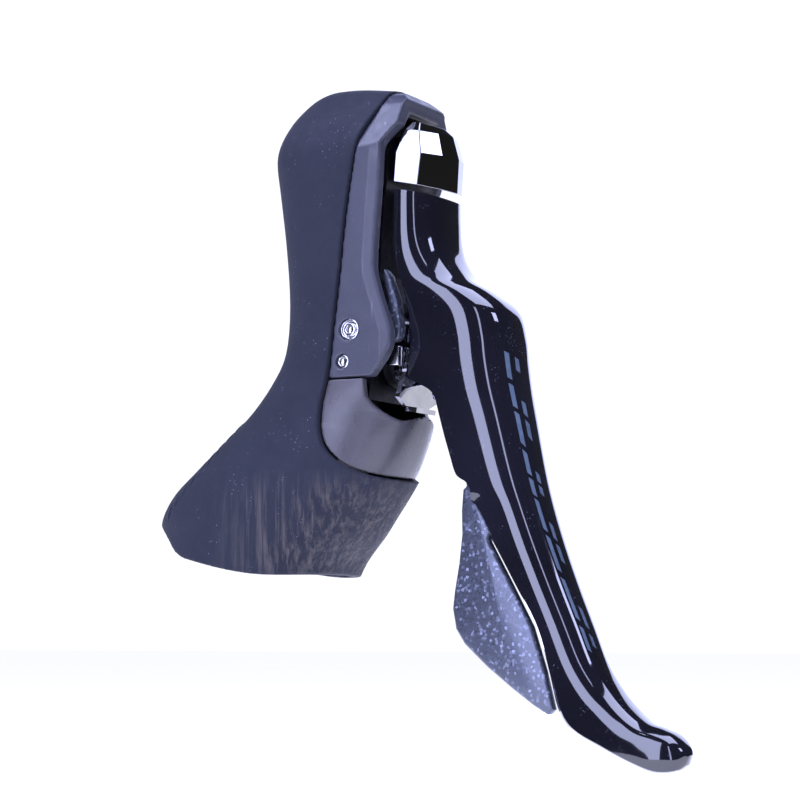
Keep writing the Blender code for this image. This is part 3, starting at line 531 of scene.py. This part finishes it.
def blade_ring(row, wall=0.0, behind=0.0, steps=18):
    """A section: the rounded front, then flanks that draw in slightly towards the rear edge."""
    front, back, depth, half, offset = blade_frame(row)
    depth += behind - wall
    half = max(half - wall, 0.5)
    ring = [blade_point(row, math.radians(90 * step / steps), wall) for step in range(-steps, steps + 1)]
    corner = min(0.9, half * 0.4)

    def flank_point(side, share, pinch=0.0):
        nose = nose_shape(half, depth - behind, side < 0)[0]
        length = depth - nose
        place = front + back * (wall + nose + length * share)
        lean = FLANK_LEAN * length * share**1.4
        return Vector((place.x, offset + side * (half - min(lean, half * 0.3) - pinch), place.z))

    last = 1 - corner / max(depth - nose_shape(half, depth - behind, True)[0], 1.5)
    ring += [flank_point(1, share) for share in (0.25, 0.5, 0.75, max(last, 0.8))]
    ring += [flank_point(1, 1.0, corner), flank_point(-1, 1.0, corner)]
    ring += [flank_point(-1, share) for share in (max(last, 0.8), 0.75, 0.5, 0.25)]
    return ring


BLADE_ROWS = [(*front, *rear, half, offset) for front, rear, half, offset in BLADE_SECTIONS]


def blade_rows(first, last, count):
    return [between(BLADE_ROWS, first + (last - first) * step / count) for step in range(count + 1)]


def make_blade():
    """The hollow main lever blade, with the web and hub hole that hang it on the shift axle."""
    last = len(BLADE_ROWS) - 1
    blade = loft("blade_skin", [blade_ring(row) for row in blade_rows(0, last, 110)], 50)
    top = (51.9, 70.4, 42.3, 72.4, 10.5, 0.0)
    inner = [top] + blade_rows(1, 16, 60)
    cut(blade, loft("channel", [blade_ring(row, BLADE_WALL, 5.0, 8) for row in inner]))
    edge = REAR_EDGE[:1] + curve_through(REAR_EDGE[1:12], CORNER_CUT) + REAR_EDGE[12:]
    cut(blade, prism("rear_edge", edge, -20, 20))
    web = [(-9.2, -6.0), (9.2, -6.0), (9.2, 6.0), (-9.2, 6.0)]
    cut(blade, on_shift_axle("web", web, 2.8, 5.8), "UNION")
    cut(blade, on_shift_axle("hub_way", circle(3.3, (0, 0), 40), -3, 9))
    keep_in_box(blade)
    return smooth_shading(blade, 38.0)


def on_blade(place, turn, out):
    """A point standing out from the blade's front, at a fractional section and a turn across it."""
    row = between(BLADE_ROWS, place)
    here = blade_point(row, turn)
    across = blade_point(row, turn + 0.03) - blade_point(row, turn - 0.03)
    above = blade_point(between(BLADE_ROWS, place - 0.05), turn)
    below = blade_point(between(BLADE_ROWS, place + 0.05), turn)
    along = below - above
    normal = across.cross(along).normalized()
    if normal.x < 0:
        normal.negate()
    return here + normal * out


def patch(name, corner_at, wide, tall, out=0.05, under=0.4):
    """A thin closed sheet over the surface that corner_at(u, v, out) describes."""
    points, faces = [], []
    for level in (out, -under):
        for j in range(tall + 1):
            for i in range(wide + 1):
                points.append(corner_at(i / wide, j / tall, level))
    size = (wide + 1) * (tall + 1)
    for j in range(tall):
        for i in range(wide):
            a = j * (wide + 1) + i
            quad = [a, a + 1, a + wide + 2, a + wide + 1]
            faces += [quad, [index + size for index in reversed(quad)]]
    loop = list(range(wide + 1))
    loop += [(j + 1) * (wide + 1) - 1 for j in range(1, tall + 1)]
    loop += [tall * (wide + 1) + i for i in range(wide - 1, -1, -1)]
    loop += [j * (wide + 1) for j in range(tall - 1, 0, -1)]
    for a, b in zip(loop, loop[1:] + loop[:1]):
        faces.append([b, a, a + size, b + size])
    return mesh_object(name, points, faces)


def join_all(name, objects):
    """One object from several, with their points in its mesh."""
    shape = bmesh.new()
    for obj in objects:
        shape.from_mesh(obj.data)
        bpy.data.objects.remove(obj, do_unlink=True)
    mesh = bpy.data.meshes.new(name)
    shape.to_mesh(mesh)
    shape.free()
    mesh.shade_smooth()
    mesh.set_sharp_from_angle(angle=math.radians(40))
    joined = bpy.data.objects.new(name, mesh)
    bpy.context.scene.collection.objects.link(joined)
    return joined


# First and last section of each of the generic bars printed down the blade, and where they lie across it.
BAR_SPANS = [(7.7, 8.7), (8.9, 9.7), (9.85, 10.5), (10.62, 11.1), (11.22, 11.7), (11.82, 12.6),
             (12.75, 13.6), (13.8, 14.8), (15.0, 15.6)]
BAR_TURNS = (-0.50, -0.06)
BAR_SLANT = 0.30
BAR_STROKE = 0.30


def make_bars():
    """Pairs of slanted strokes: a long one down the outer side and a short one beside it."""
    bars = []
    for index, (first, last) in enumerate(BAR_SPANS):
        middle = (first + last) / 2
        short = (middle, last) if index % 2 else (first, middle)
        strokes = [(0.0, first, last), (1.0 - BAR_STROKE, *short)]
        for stroke, (start, low, high) in enumerate(strokes):

            def corner_at(u, v, out, start=start, low=low, high=high):
                across = start + BAR_STROKE * u
                turn = BAR_TURNS[0] + (BAR_TURNS[1] - BAR_TURNS[0]) * across
                return on_blade(low + (high - low) * v + BAR_SLANT * across, turn, out)

            bars.append(patch(f"bar_{index}_{stroke}", corner_at, 4, 12, 0.04, 0.3))
    return join_all("blade_stripes", bars)


# The release lever's outline in the side view: the paddle's rear edge, its tip, its front edge, then the arm.
PADDLE = [(57.6, -2.4), (57.7, -7.8), (56.9, -14.5), (55.7, -21.0), (55.2, -25.0), (56.0, -29.7),
          (58.3, -33.2), (64.1, -38.3), (70.7, -43.3), (75.9, -46.9), (79.8, -49.2), (81.2, -47.8),
          (79.0, -39.2), (75.8, -29.3), (70.4, -19.4), (65.0, -9.8), (64.8, -9.0), (66.4, -4.0),
          (64.0, 1.0), (60.6, 8.0), (58.0, 16.0),
          (55.0, 22.6), (51.3, 26.0), (51.0, 30.0), (50.5, 39.0), (48.9, 39.0), (49.1, 28.6), (50.2, 26.4),
          (51.0, 23.4), (52.2, 19.8), (55.8, 12.5), (57.8, 7.4), (59.0, 3.3), (58.0, 2.6)]


def make_release():
    """The release paddle with its arm and the hub that turns on the shift axle."""
    lever = prism("release_skin", PADDLE, -5.4, -3.0)
    bevel_edges(lever, 0.75, 60.0, 4)
    apply_modifiers(lever)
    cut(lever, on_shift_axle("hub", circle(6.4, (0, 0), 48), -1.5, 0.3), "UNION")
    cut(lever, on_shift_axle("hole", circle(2.12, (0, 0), 40), -3, 2))
    return smooth_shading(lever, 30.0)


# Rear, corner, near front, ridge, half width, height and slope of the cap's levels, from its foot up.
CAP_LEVELS = [
    (42.4, 48.4, 52.4, 54.0, 10.4, 76.0, 0.21), (43.0, 49.4, 53.0, 54.5, 10.4, 83.0, 0.1),
    (44.9, 48.6, 51.6, 52.9, 9.4, 88.4, 0.1), (46.2, 48.0, 49.6, 50.6, 7.6, 90.6, 0.2),
]
SIDE_LEAN = math.tan(math.radians(7.0))


def make_cap():
    """The plain faceted cap on the carrier's front, with flat mirror-like facets and fine bevels."""
    rings = []
    for rear, corner, near, ridge, half, level, slope in CAP_LEVELS:
        side = half - (corner - rear) * SIDE_LEAN
        plan = [(rear, -half), (corner, -side), (near, -half * 0.5), (ridge, 0)]
        plan += [(x, -y) for x, y in reversed(plan[:-1])]
        rings.append([(x, y, level - slope * (x - rear)) for x, y in plan])
    cap = loft("cap_skin", rings, 20)
    outline = [(30.0, 77.4), (47.9, 77.4), (47.9, 87.8), (30.0, 87.8)]
    cut(cap, prism("pocket", outline, -8.0, 8.0))
    cut(cap, prism("thread", circle(1.3, (0.0, 83.5), 24), 40, 51, "X"))
    bevel_edges(cap, 0.28, 14.0, 3)
    cap.modifiers.new("flat_facets", "WEIGHTED_NORMAL")
    return apply_modifiers(cap)


SIDE_COVER = [(39.6, 54.4), (39.8, 55.4), (41.2, 53.6), (43.2, 47.7), (44.3, 41.5), (43.9, 38.6),
              (42.3, 37.4), (40.9, 38.4), (40.9, 43.1), (40.9, 47.9), (39.6, 53.2)]


def make_side_cover():
    return rounded(prism("side_cover_skin", SIDE_COVER, -10.6, -7.4), 0.8, 60.0, 5)


def make_unit_block():
    """The bright spacer under the side cover."""
    outline = [(40.2, 32.2), (43.6, 32.0), (43.9, 36.6), (40.6, 36.9)]
    return rounded(prism("unit_spacer", outline, -10.3, -8.4), 0.3)


def flank(x, z):
    """The outer flank's Y at a point of the side view."""
    rows = GRIP_STATIONS
    low = max(index for index in range(len(rows) - 1) if rows[index][0] <= z)
    share = (z - rows[low][0]) / (rows[low + 1][0] - rows[low][0])
    _, rear, front, half, widest, power = between(rows, low + share)
    reach, shape = (front - widest, power) if x > widest else (widest - rear, REAR_POWER)
    offset = min(abs(x - widest) / reach, 0.999)
    return -half * (1 - offset**shape) ** (1 / shape)


RIB_COUNT = 9
RIB_START = Vector((-20.0, 0.0, -1.0))
RIB_PITCH = Vector((2.35, 0.0, 2.55))
RIB_WIDTH = Vector((1.1, 0.0, -0.9))
RIB_LENGTH = Vector((0.8, 0.0, 3.4))


def make_ribs():
    """Low slanted ribs moulded into the hood's flank, near the mouth."""
    ribs = []
    for index in range(RIB_COUNT):
        centre = RIB_START + RIB_PITCH * index

        def corner_at(u, v, out, centre=centre):
            x, _, z = centre + RIB_WIDTH * (u - 0.5) + RIB_LENGTH * (v - 0.5)
            lift = max(math.sin(math.pi * u) * math.sin(math.pi * v), 0.0) ** 0.5
            reach = out * lift if out > 0 else out
            return (x, flank(x, z) - reach, z)

        ribs.append(patch(f"rib_{index}", corner_at, 6, 10, 0.34, 0.6))
    return join_all("hood_ribs", ribs)


# ---------------------------------------------------------------- materials


class Surface:
    """A Principled material with helpers for its noise, bump and colour nodes."""

    def __init__(self, name, roughness=0.5, metallic=0.0, **sockets):
        self.material = bpy.data.materials.new(name)
        self.material.use_nodes = True
        self.tree = self.material.node_tree
        self.shader = self.tree.nodes["Principled BSDF"]
        self.shader.inputs["Metallic"].default_value = metallic
        self.shader.inputs["Roughness"].default_value = roughness
        for socket, value in sockets.items():
            self.shader.inputs[socket.replace("_", " ")].default_value = value
        self.place = self.node("ShaderNodeTexCoord").outputs["Object"]

    def node(self, kind, **settings):
        made = self.tree.nodes.new(kind)
        for key, value in settings.items():
            setattr(made, key, value)
        return made

    def link(self, start, end):
        self.tree.links.new(start, end)

    def stretched(self, scale, turn=(0, 0, 0)):
        mapping = self.node("ShaderNodeMapping")
        mapping.inputs["Scale"].default_value = scale
        mapping.inputs["Rotation"].default_value = turn
        self.link(self.place, mapping.inputs["Vector"])
        return mapping.outputs["Vector"]

    def noise(self, scale, detail=4.0, rough=0.6, place=None):
        made = self.node("ShaderNodeTexNoise")
        made.inputs["Scale"].default_value = scale
        made.inputs["Detail"].default_value = detail
        made.inputs["Roughness"].default_value = rough
        self.link(place or self.place, made.inputs["Vector"])
        return made.outputs["Fac"]

    def cells(self, scale, feature="F1"):
        made = self.node("ShaderNodeTexVoronoi", feature=feature)
        made.inputs["Scale"].default_value = scale
        self.link(self.place, made.inputs["Vector"])
        return made

    def levels(self, value, low, high, out_low=0.0, out_high=1.0):
        made = self.node("ShaderNodeMapRange")
        limits = {"From Min": low, "From Max": high, "To Min": out_low, "To Max": out_high}
        for socket, number in limits.items():
            made.inputs[socket].default_value = number
        self.link(value, made.inputs["Value"])
        return made.outputs["Result"]

    def times(self, first, second):
        made = self.node("ShaderNodeMath", operation="MULTIPLY")
        for index, value in enumerate((first, second)):
            if isinstance(value, float):
                made.inputs[index].default_value = value
            else:
                self.link(value, made.inputs[index])
        return made.outputs["Value"]

    def mix(self, share, first, second):
        made = self.node("ShaderNodeMix", data_type="RGBA")
        self.link(share, made.inputs["Factor"])
        for socket, value in (("A", first), ("B", second)):
            target = [entry for entry in made.inputs if entry.name == socket and entry.type == "RGBA"][0]
            if isinstance(value, tuple):
                target.default_value = (*value, 1.0)
            else:
                self.link(value, target)
        return [entry for entry in made.outputs if entry.type == "RGBA"][0]

    def colour(self, value):
        self.link(value, self.shader.inputs["Base Color"])

    def rough(self, value):
        self.link(value, self.shader.inputs["Roughness"])

    def bump(self, height, depth, strength=1.0, after=None):
        made = self.node("ShaderNodeBump")
        made.inputs["Distance"].default_value = depth * MM
        made.inputs["Strength"].default_value = strength
        self.link(height, made.inputs["Height"])
        if after:
            self.link(after, made.inputs["Normal"])
        self.link(made.outputs["Normal"], self.shader.inputs["Normal"])
        return made.outputs["Normal"]

    def along(self, axis):
        made = self.node("ShaderNodeSeparateXYZ")
        self.link(self.place, made.inputs["Vector"])
        return made.outputs[axis]

    def sum(self, *terms):
        """The sum of (output, factor) pairs and plain numbers, in metres."""
        total = None
        for term in terms:
            value, factor = term if isinstance(term, tuple) else (term, None)
            piece = self.times(value, factor) if factor is not None else value
            if total is None:
                total = piece
                continue
            made = self.node("ShaderNodeMath", operation="ADD")
            for index, part in enumerate((total, piece)):
                if isinstance(part, float):
                    made.inputs[index].default_value = part
                else:
                    self.link(part, made.inputs[index])
            total = made.outputs["Value"]
        return total

    def highest(self, *values):
        top = values[0]
        for value in values[1:]:
            made = self.node("ShaderNodeMath", operation="MAXIMUM")
            self.link(top, made.inputs[0])
            self.link(value, made.inputs[1])
            top = made.outputs["Value"]
        return top

    def size_of(self, value):
        made = self.node("ShaderNodeMath", operation="ABSOLUTE")
        self.link(value, made.inputs[0])
        return made.outputs["Value"]

    def inside(self, axis, start, full, done, end):
        """1 between full and done along an axis, fading to 0 at start and end (millimetres)."""
        value = self.along(axis)
        rise = self.levels(value, start * MM, full * MM)
        fall = self.levels(value, end * MM, done * MM)
        return self.times(rise, fall)


def hood_rubber():
    s = Surface("hood_rubber", 0.72, Specular_IOR_Level=0.22, Sheen_Weight=0.04, Sheen_Roughness=0.5)
    cloud = s.levels(s.noise(38.0), 0.3, 0.7)
    base = s.mix(cloud, (0.013, 0.0155, 0.027), (0.0185, 0.0215, 0.037))
    dust = s.levels(s.cells(900.0).outputs["Distance"], 0.16, 0.05)
    patchy = s.levels(s.noise(150.0, 2.0), 0.5, 0.62)
    specked = s.mix(s.times(s.times(dust, patchy), 0.75), base, (0.20, 0.21, 0.30))
    # Lighter slanted streaks over the lower front of the hood: partly dust on the rubber, partly a painted
    # highlight where its fine ribs catch the light.
    streak = s.noise(1.0, 6.0, 0.7, s.stretched((750.0, 700.0, 42.0), (0, math.radians(28), 0)))
    streak_area = s.times(s.inside("Z", -21, -14, 1, 8), s.inside("X", -4, 16, 60, 80))
    dust_and_highlight_streaks = s.times(streak_area, s.levels(streak, 0.46, 0.64))
    s.colour(s.mix(dust_and_highlight_streaks, specked, (0.078, 0.070, 0.074)))
    s.rough(s.levels(s.noise(210.0, 3.0), 0.3, 0.7, 0.60, 0.80))
    first = s.bump(s.noise(2200.0, 2.0), 0.05, 0.5)
    s.bump(dust_and_highlight_streaks, 0.10, 0.6, first)
    return s.material


def satin_composite(name, low, high, roughness=0.36):
    s = Surface(name, roughness, Specular_IOR_Level=0.5)
    cloud = s.levels(s.noise(60.0), 0.3, 0.7)
    base = s.mix(cloud, low, high)
    fleck = s.levels(s.cells(1400.0).outputs["Distance"], 0.15, 0.05)
    s.colour(s.mix(s.times(fleck, 0.25), base, (0.30, 0.31, 0.42)))
    s.rough(s.levels(s.noise(420.0, 3.0), 0.3, 0.7, roughness - 0.05, roughness + 0.08))
    s.bump(s.noise(1500.0, 3.0), 0.03, 0.35)
    return s.material


def bracket_finish():
    """Satin outside, and bare black moulding on the lip and the walls of the opening."""
    s = Surface("bracket_finish", 0.36)
    cloud = s.levels(s.noise(60.0), 0.3, 0.7)
    satin = s.mix(cloud, (0.044, 0.046, 0.066), (0.054, 0.056, 0.080))
    fleck = s.levels(s.cells(1400.0).outputs["Distance"], 0.15, 0.05)
    satin = s.mix(s.times(fleck, 0.22), satin, (0.30, 0.31, 0.44))
    drawn = s.stretched((900.0, 900.0, 45.0), (0, math.radians(12), 0))
    scratch = s.levels(s.noise(1.0, 2.0, 0.5, drawn), 0.66, 0.74)
    satin = s.mix(s.times(scratch, 0.25), satin, (0.32, 0.33, 0.44))
    black = s.mix(s.levels(s.noise(90.0), 0.3, 0.7), (0.004, 0.004, 0.006), (0.012, 0.012, 0.016))
    across = s.size_of(s.along("Y"))
    height = s.along("Z")
    slant_y, slant_z = 0.874, 0.487  # the shoulder's normal
    shoulder = OPENING_HALF * slant_y + ARCH_SHOULDER * slant_z + LIP
    side = s.sum(across, -(OPENING_HALF + LIP) * MM)
    slant = s.sum((across, slant_y), (height, slant_z), -shoulder * MM)
    top = s.sum(height, -(ARCH_TOP + LIP) * MM)
    outside = s.levels(s.highest(side, slant, top), -0.06 * MM, 0.06 * MM)
    s.colour(s.mix(outside, black, satin))
    s.rough(s.levels(s.noise(420.0, 3.0), 0.3, 0.7, 0.30, 0.44))
    s.bump(s.noise(1500.0, 3.0), 0.03, 0.35)
    return s.material


def black_moulding():
    s = Surface("black_moulding", 0.45)
    s.colour(s.mix(s.levels(s.noise(90.0), 0.3, 0.7), (0.006, 0.006, 0.008), (0.014, 0.014, 0.018)))
    s.rough(s.levels(s.noise(300.0), 0.3, 0.7, 0.38, 0.52))
    s.bump(s.noise(1300.0, 2.0), 0.03, 0.4)
    return s.material


def lever_gloss():
    s = Surface("lever_gloss", 0.10, Coat_Weight=1.0, Coat_Roughness=0.03, Specular_IOR_Level=0.55)
    deep = s.mix(s.levels(s.noise(25.0), 0.3, 0.7), (0.0045, 0.0045, 0.008), (0.009, 0.009, 0.016))
    dust = s.levels(s.cells(1500.0).outputs["Distance"], 0.22, 0.08)
    patchy = s.levels(s.noise(240.0, 2.0), 0.56, 0.66)
    s.colour(s.mix(s.times(s.times(dust, patchy), 0.8), deep, (0.16, 0.17, 0.24)))
    s.rough(s.levels(s.noise(35.0, 6.0, 0.7), 0.35, 0.8, 0.04, 0.12))
    s.bump(s.noise(900.0, 2.0), 0.006, 0.25)
    return s.material


def cap_gloss():
    s = Surface("cap_gloss", 0.06, 1.0)
    s.colour(s.mix(s.levels(s.noise(40.0), 0.3, 0.7), (0.27, 0.268, 0.27), (0.33, 0.328, 0.33)))
    s.rough(s.levels(s.noise(60.0, 5.0), 0.35, 0.8, 0.03, 0.14))
    s.bump(s.noise(500.0, 2.0), 0.006, 0.2)
    return s.material


def sparkle_paint():
    s = Surface("sparkle_paint", 0.34, 0.55, Coat_Weight=0.5, Coat_Roughness=0.12)
    base = s.mix(s.levels(s.noise(45.0), 0.3, 0.7), (0.064, 0.073, 0.104), (0.090, 0.103, 0.144))
    flake = s.cells(1700.0)
    bright = s.levels(flake.outputs["Color"], 0.72, 1.0)
    s.colour(s.mix(s.times(bright, 0.6), base, (0.50, 0.55, 0.78)))
    s.rough(s.levels(flake.outputs["Color"], 0.0, 1.0, 0.24, 0.46))
    s.bump(flake.outputs["Distance"], 0.04, 0.5)
    return s.material


def stripe_print():
    s = Surface("stripe_print", 0.3, 0.0, Coat_Weight=0.8, Coat_Roughness=0.05)
    s.colour(s.mix(s.levels(s.noise(160.0), 0.3, 0.7), (0.075, 0.105, 0.165), (0.100, 0.140, 0.210)))
    s.rough(s.levels(s.noise(200.0), 0.3, 0.7, 0.22, 0.36))
    s.bump(s.noise(800.0), 0.01, 0.2)
    return s.material


def metal(name, colour, roughness, grain=(40.0, 900.0, 900.0), dark=0.6):
    """Metal with fine brushed lines. The grain is their density along each axis."""
    s = Surface(name, roughness, 1.0)
    lines = s.noise(1.0, 3.0, 0.6, s.stretched(grain))
    shade = tuple(channel * dark for channel in colour)
    s.colour(s.mix(s.levels(s.noise(90.0), 0.25, 0.75), shade, colour))
    s.rough(s.levels(lines, 0.3, 0.7, roughness * 0.75, roughness * 1.4))
    s.bump(lines, 0.008, 0.3)
    return s.material


def paint(obj, *materials):
    obj.data.materials.clear()
    for entry in materials:
        obj.data.materials.append(entry)


def paint_nodes(material, *names):
    """Gives a material to CAD nodes that are carried over as they are."""
    for name in names:
        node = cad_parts[name]
        if not node.material_slots:
            node.data.materials.append(material)
        for slot in node.material_slots:
            slot.material = material


def finish_piece(obj, body, node, slot, *materials):
    """Paints a piece, hangs it on its body and, where it stands for a CAD node, hides that node."""
    paint(obj, *materials)
    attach(obj, body)
    if node:
        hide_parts(node)
    return obj


def make_pieces():
    cover_satin = satin_composite("cover_satin", (0.062, 0.060, 0.074), (0.078, 0.074, 0.086), 0.30)
    black = black_moulding()
    rubber = hood_rubber()
    gloss = lever_gloss()
    sparkle = sparkle_paint()
    steel = metal("polished_steel", (0.66, 0.66, 0.70), 0.16)
    wire = metal("spring_wire", (0.45, 0.45, 0.48), 0.28, (900.0, 40.0, 900.0))
    bronze = metal("bush_bronze", (0.55, 0.37, 0.17), 0.35)
    cast = metal("cast_alloy", (0.05, 0.05, 0.06), 0.42, (600.0, 600.0, 600.0), 0.5)

    finish_piece(make_hood(), "bracket", "hood_cover", "hood_rubber", rubber)
    finish_piece(make_ribs(), "bracket", None, "hood_rubber", rubber)
    finish_piece(make_bracket(), "bracket", "bracket_body", "bracket_composite", bracket_finish())
    cover = finish_piece(make_cover(), "bracket", "lower_unit_cover", "cover_plastic", cover_satin, black)
    blacken_inside(cover, 30.0)
    finish_piece(make_axle(), "bracket", "brake_axle", "polished_steel", steel)
    finish_piece(make_stop_pin(), "bracket", "spring_stop_pin", "polished_steel", steel)
    finish_piece(make_blade(), "lever", "main_lever", "lever_gloss", gloss)
    finish_piece(make_bars(), "lever", None, "lever_gloss", stripe_print())
    finish_piece(make_release(), "release", "release_lever", "release_paint", sparkle)
    finish_piece(make_cap(), "carrier", "name_plate", "cap_gloss", cap_gloss())
    finish_piece(make_side_cover(), "carrier", "unit_side_cover", "release_paint", sparkle)
    finish_piece(make_unit_block(), "carrier", None, "polished_steel", steel)

    paint_nodes(steel, "clamp_band", "clamp_nut_plate", "clamp_bolt", "clamp_washer",
                "cover_screw", "shift_axle",
                "lever_washer", "axle_nut", "hold_pawl_pin", "feed_pawl_pin", "reach_screw", "cap_screw",
                "cable_anchor", "ratchet_wheel", "index_plate", "hold_pawl", "feed_pawl")
    paint_nodes(metal("chrome_plate", (0.55, 0.55, 0.60), 0.06), "unit_front_plate")
    paint_nodes(wire, "brake_return_spring", "main_return_spring", "release_spring")
    paint_nodes(bronze, "axle_bush_outer", "axle_bush_inner", "lever_bush")
    paint_nodes(black, "brake_casing_holder", "shift_casing_holder", "cable_spool")
    paint_nodes(cast, "lever_carrier")


# ---------------------------------------------------------------- camera, light and floor

VIEW_AZIMUTH = math.radians(30.0)
VIEW_ELEVATION = math.radians(-6.0)
VIEW_TARGET = Vector((0.0382, 0.0, 0.025))
VIEW_DISTANCE = 0.5333
VIEW_LENS = 100.0


def add_camera():
    level = math.cos(VIEW_ELEVATION)
    away = Vector((math.sin(VIEW_AZIMUTH) * level, -math.cos(VIEW_AZIMUTH) * level, math.sin(VIEW_ELEVATION)))
    data = bpy.data.cameras.new("camera")
    data.lens = VIEW_LENS
    data.clip_start = 0.01
    camera = bpy.data.objects.new("camera", data)
    camera.location = VIEW_TARGET + away * VIEW_DISTANCE
    camera.rotation_euler = away.to_track_quat("Z", "Y").to_euler()
    bpy.context.scene.collection.objects.link(camera)
    bpy.context.scene.camera = camera


def add_panel(name, towards, distance, width, height, power, colour=(1.0, 1.0, 1.0)):
    data = bpy.data.lights.new(name, "AREA")
    data.shape = "RECTANGLE"
    data.size = width
    data.size_y = height
    data.energy = power
    data.color = colour
    light = bpy.data.objects.new(name, data)
    way = Vector(towards).normalized()
    light.location = VIEW_TARGET + way * distance
    light.rotation_euler = way.to_track_quat("Z", "Y").to_euler()
    bpy.context.scene.collection.objects.link(light)


def add_lights():
    """Soft panels round the lever, and a world that the camera sees white but a mirror sees dark."""
    lilac = (0.60, 0.64, 1.0)
    add_panel("side_panel", (-0.21, -0.97, 0.12), 0.95, 0.32, 1.7, 11.0, lilac)
    add_panel("near_panel", (0.40, -0.92, 0.12), 0.95, 0.07, 1.1, 1.5, lilac)
    add_panel("top_panel", (0.28, -0.14, 0.92), 0.85, 0.62, 0.55, 8.0, lilac)
    add_panel("high_panel", (-0.48, -0.43, 0.76), 0.95, 0.5, 0.5, 7.0, lilac)
    add_panel("shoulder_panel", (0.82, -0.21, 0.53), 0.95, 0.20, 0.20, 1.5, lilac)
    add_panel("rear_panel", (-0.34, 1.0, 0.34), 1.1, 1.2, 1.0, 9.0, lilac)
    world = bpy.data.worlds.new("studio")
    world.use_nodes = True
    tree = world.node_tree
    background = tree.nodes["Background"]
    background.inputs["Color"].default_value = (0.93, 0.94, 1.0, 1.0)
    path = tree.nodes.new("ShaderNodeLightPath")
    strength = None
    for ray, level in (("Is Glossy Ray", 0.035), ("Is Camera Ray", 1.15)):
        mixed = tree.nodes.new("ShaderNodeMix")
        mixed.data_type = "FLOAT"
        if strength:
            tree.links.new(strength, mixed.inputs["A"])
        else:
            mixed.inputs["A"].default_value = 0.30
        mixed.inputs["B"].default_value = level
        tree.links.new(path.outputs[ray], mixed.inputs["Factor"])
        strength = mixed.outputs["Result"]
    tree.links.new(strength, background.inputs["Strength"])
    bpy.context.scene.world = world
    bpy.context.scene.view_settings.view_transform = "Standard"


FLOOR_DROP = 0.03
FLOOR_HALF = 6.0
FLOOR_FRONT = -0.3


def add_floor():
    level = cad_box[0][2] - FLOOR_DROP
    corners = [(-FLOOR_HALF, FLOOR_FRONT), (FLOOR_HALF, FLOOR_FRONT), (FLOOR_HALF, FLOOR_HALF),
               (-FLOOR_HALF, FLOOR_HALF)]
    mesh = bpy.data.meshes.new("floor")
    mesh.from_pydata([(x, y, level) for x, y in corners], [], [(0, 1, 2, 3)])
    floor = bpy.data.objects.new("floor", mesh)
    bpy.context.scene.collection.objects.link(floor)
    s = Surface("pale_floor", 0.9)
    s.colour(s.mix(s.levels(s.noise(2.0), 0.3, 0.7), (0.83, 0.83, 0.85), (0.88, 0.88, 0.89)))
    s.shader.inputs["Emission Color"].default_value = (0.93, 0.94, 1.0, 1.0)
    s.shader.inputs["Emission Strength"].default_value = 0.8
    mesh.materials.append(s.material)
    floor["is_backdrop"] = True


add_camera()
make_pieces()
add_lights()
add_floor()
boxes = {"cad": cad_box, "visual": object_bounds()}
{name: [list(corner) for corner in box] for name, box in boxes.items()}
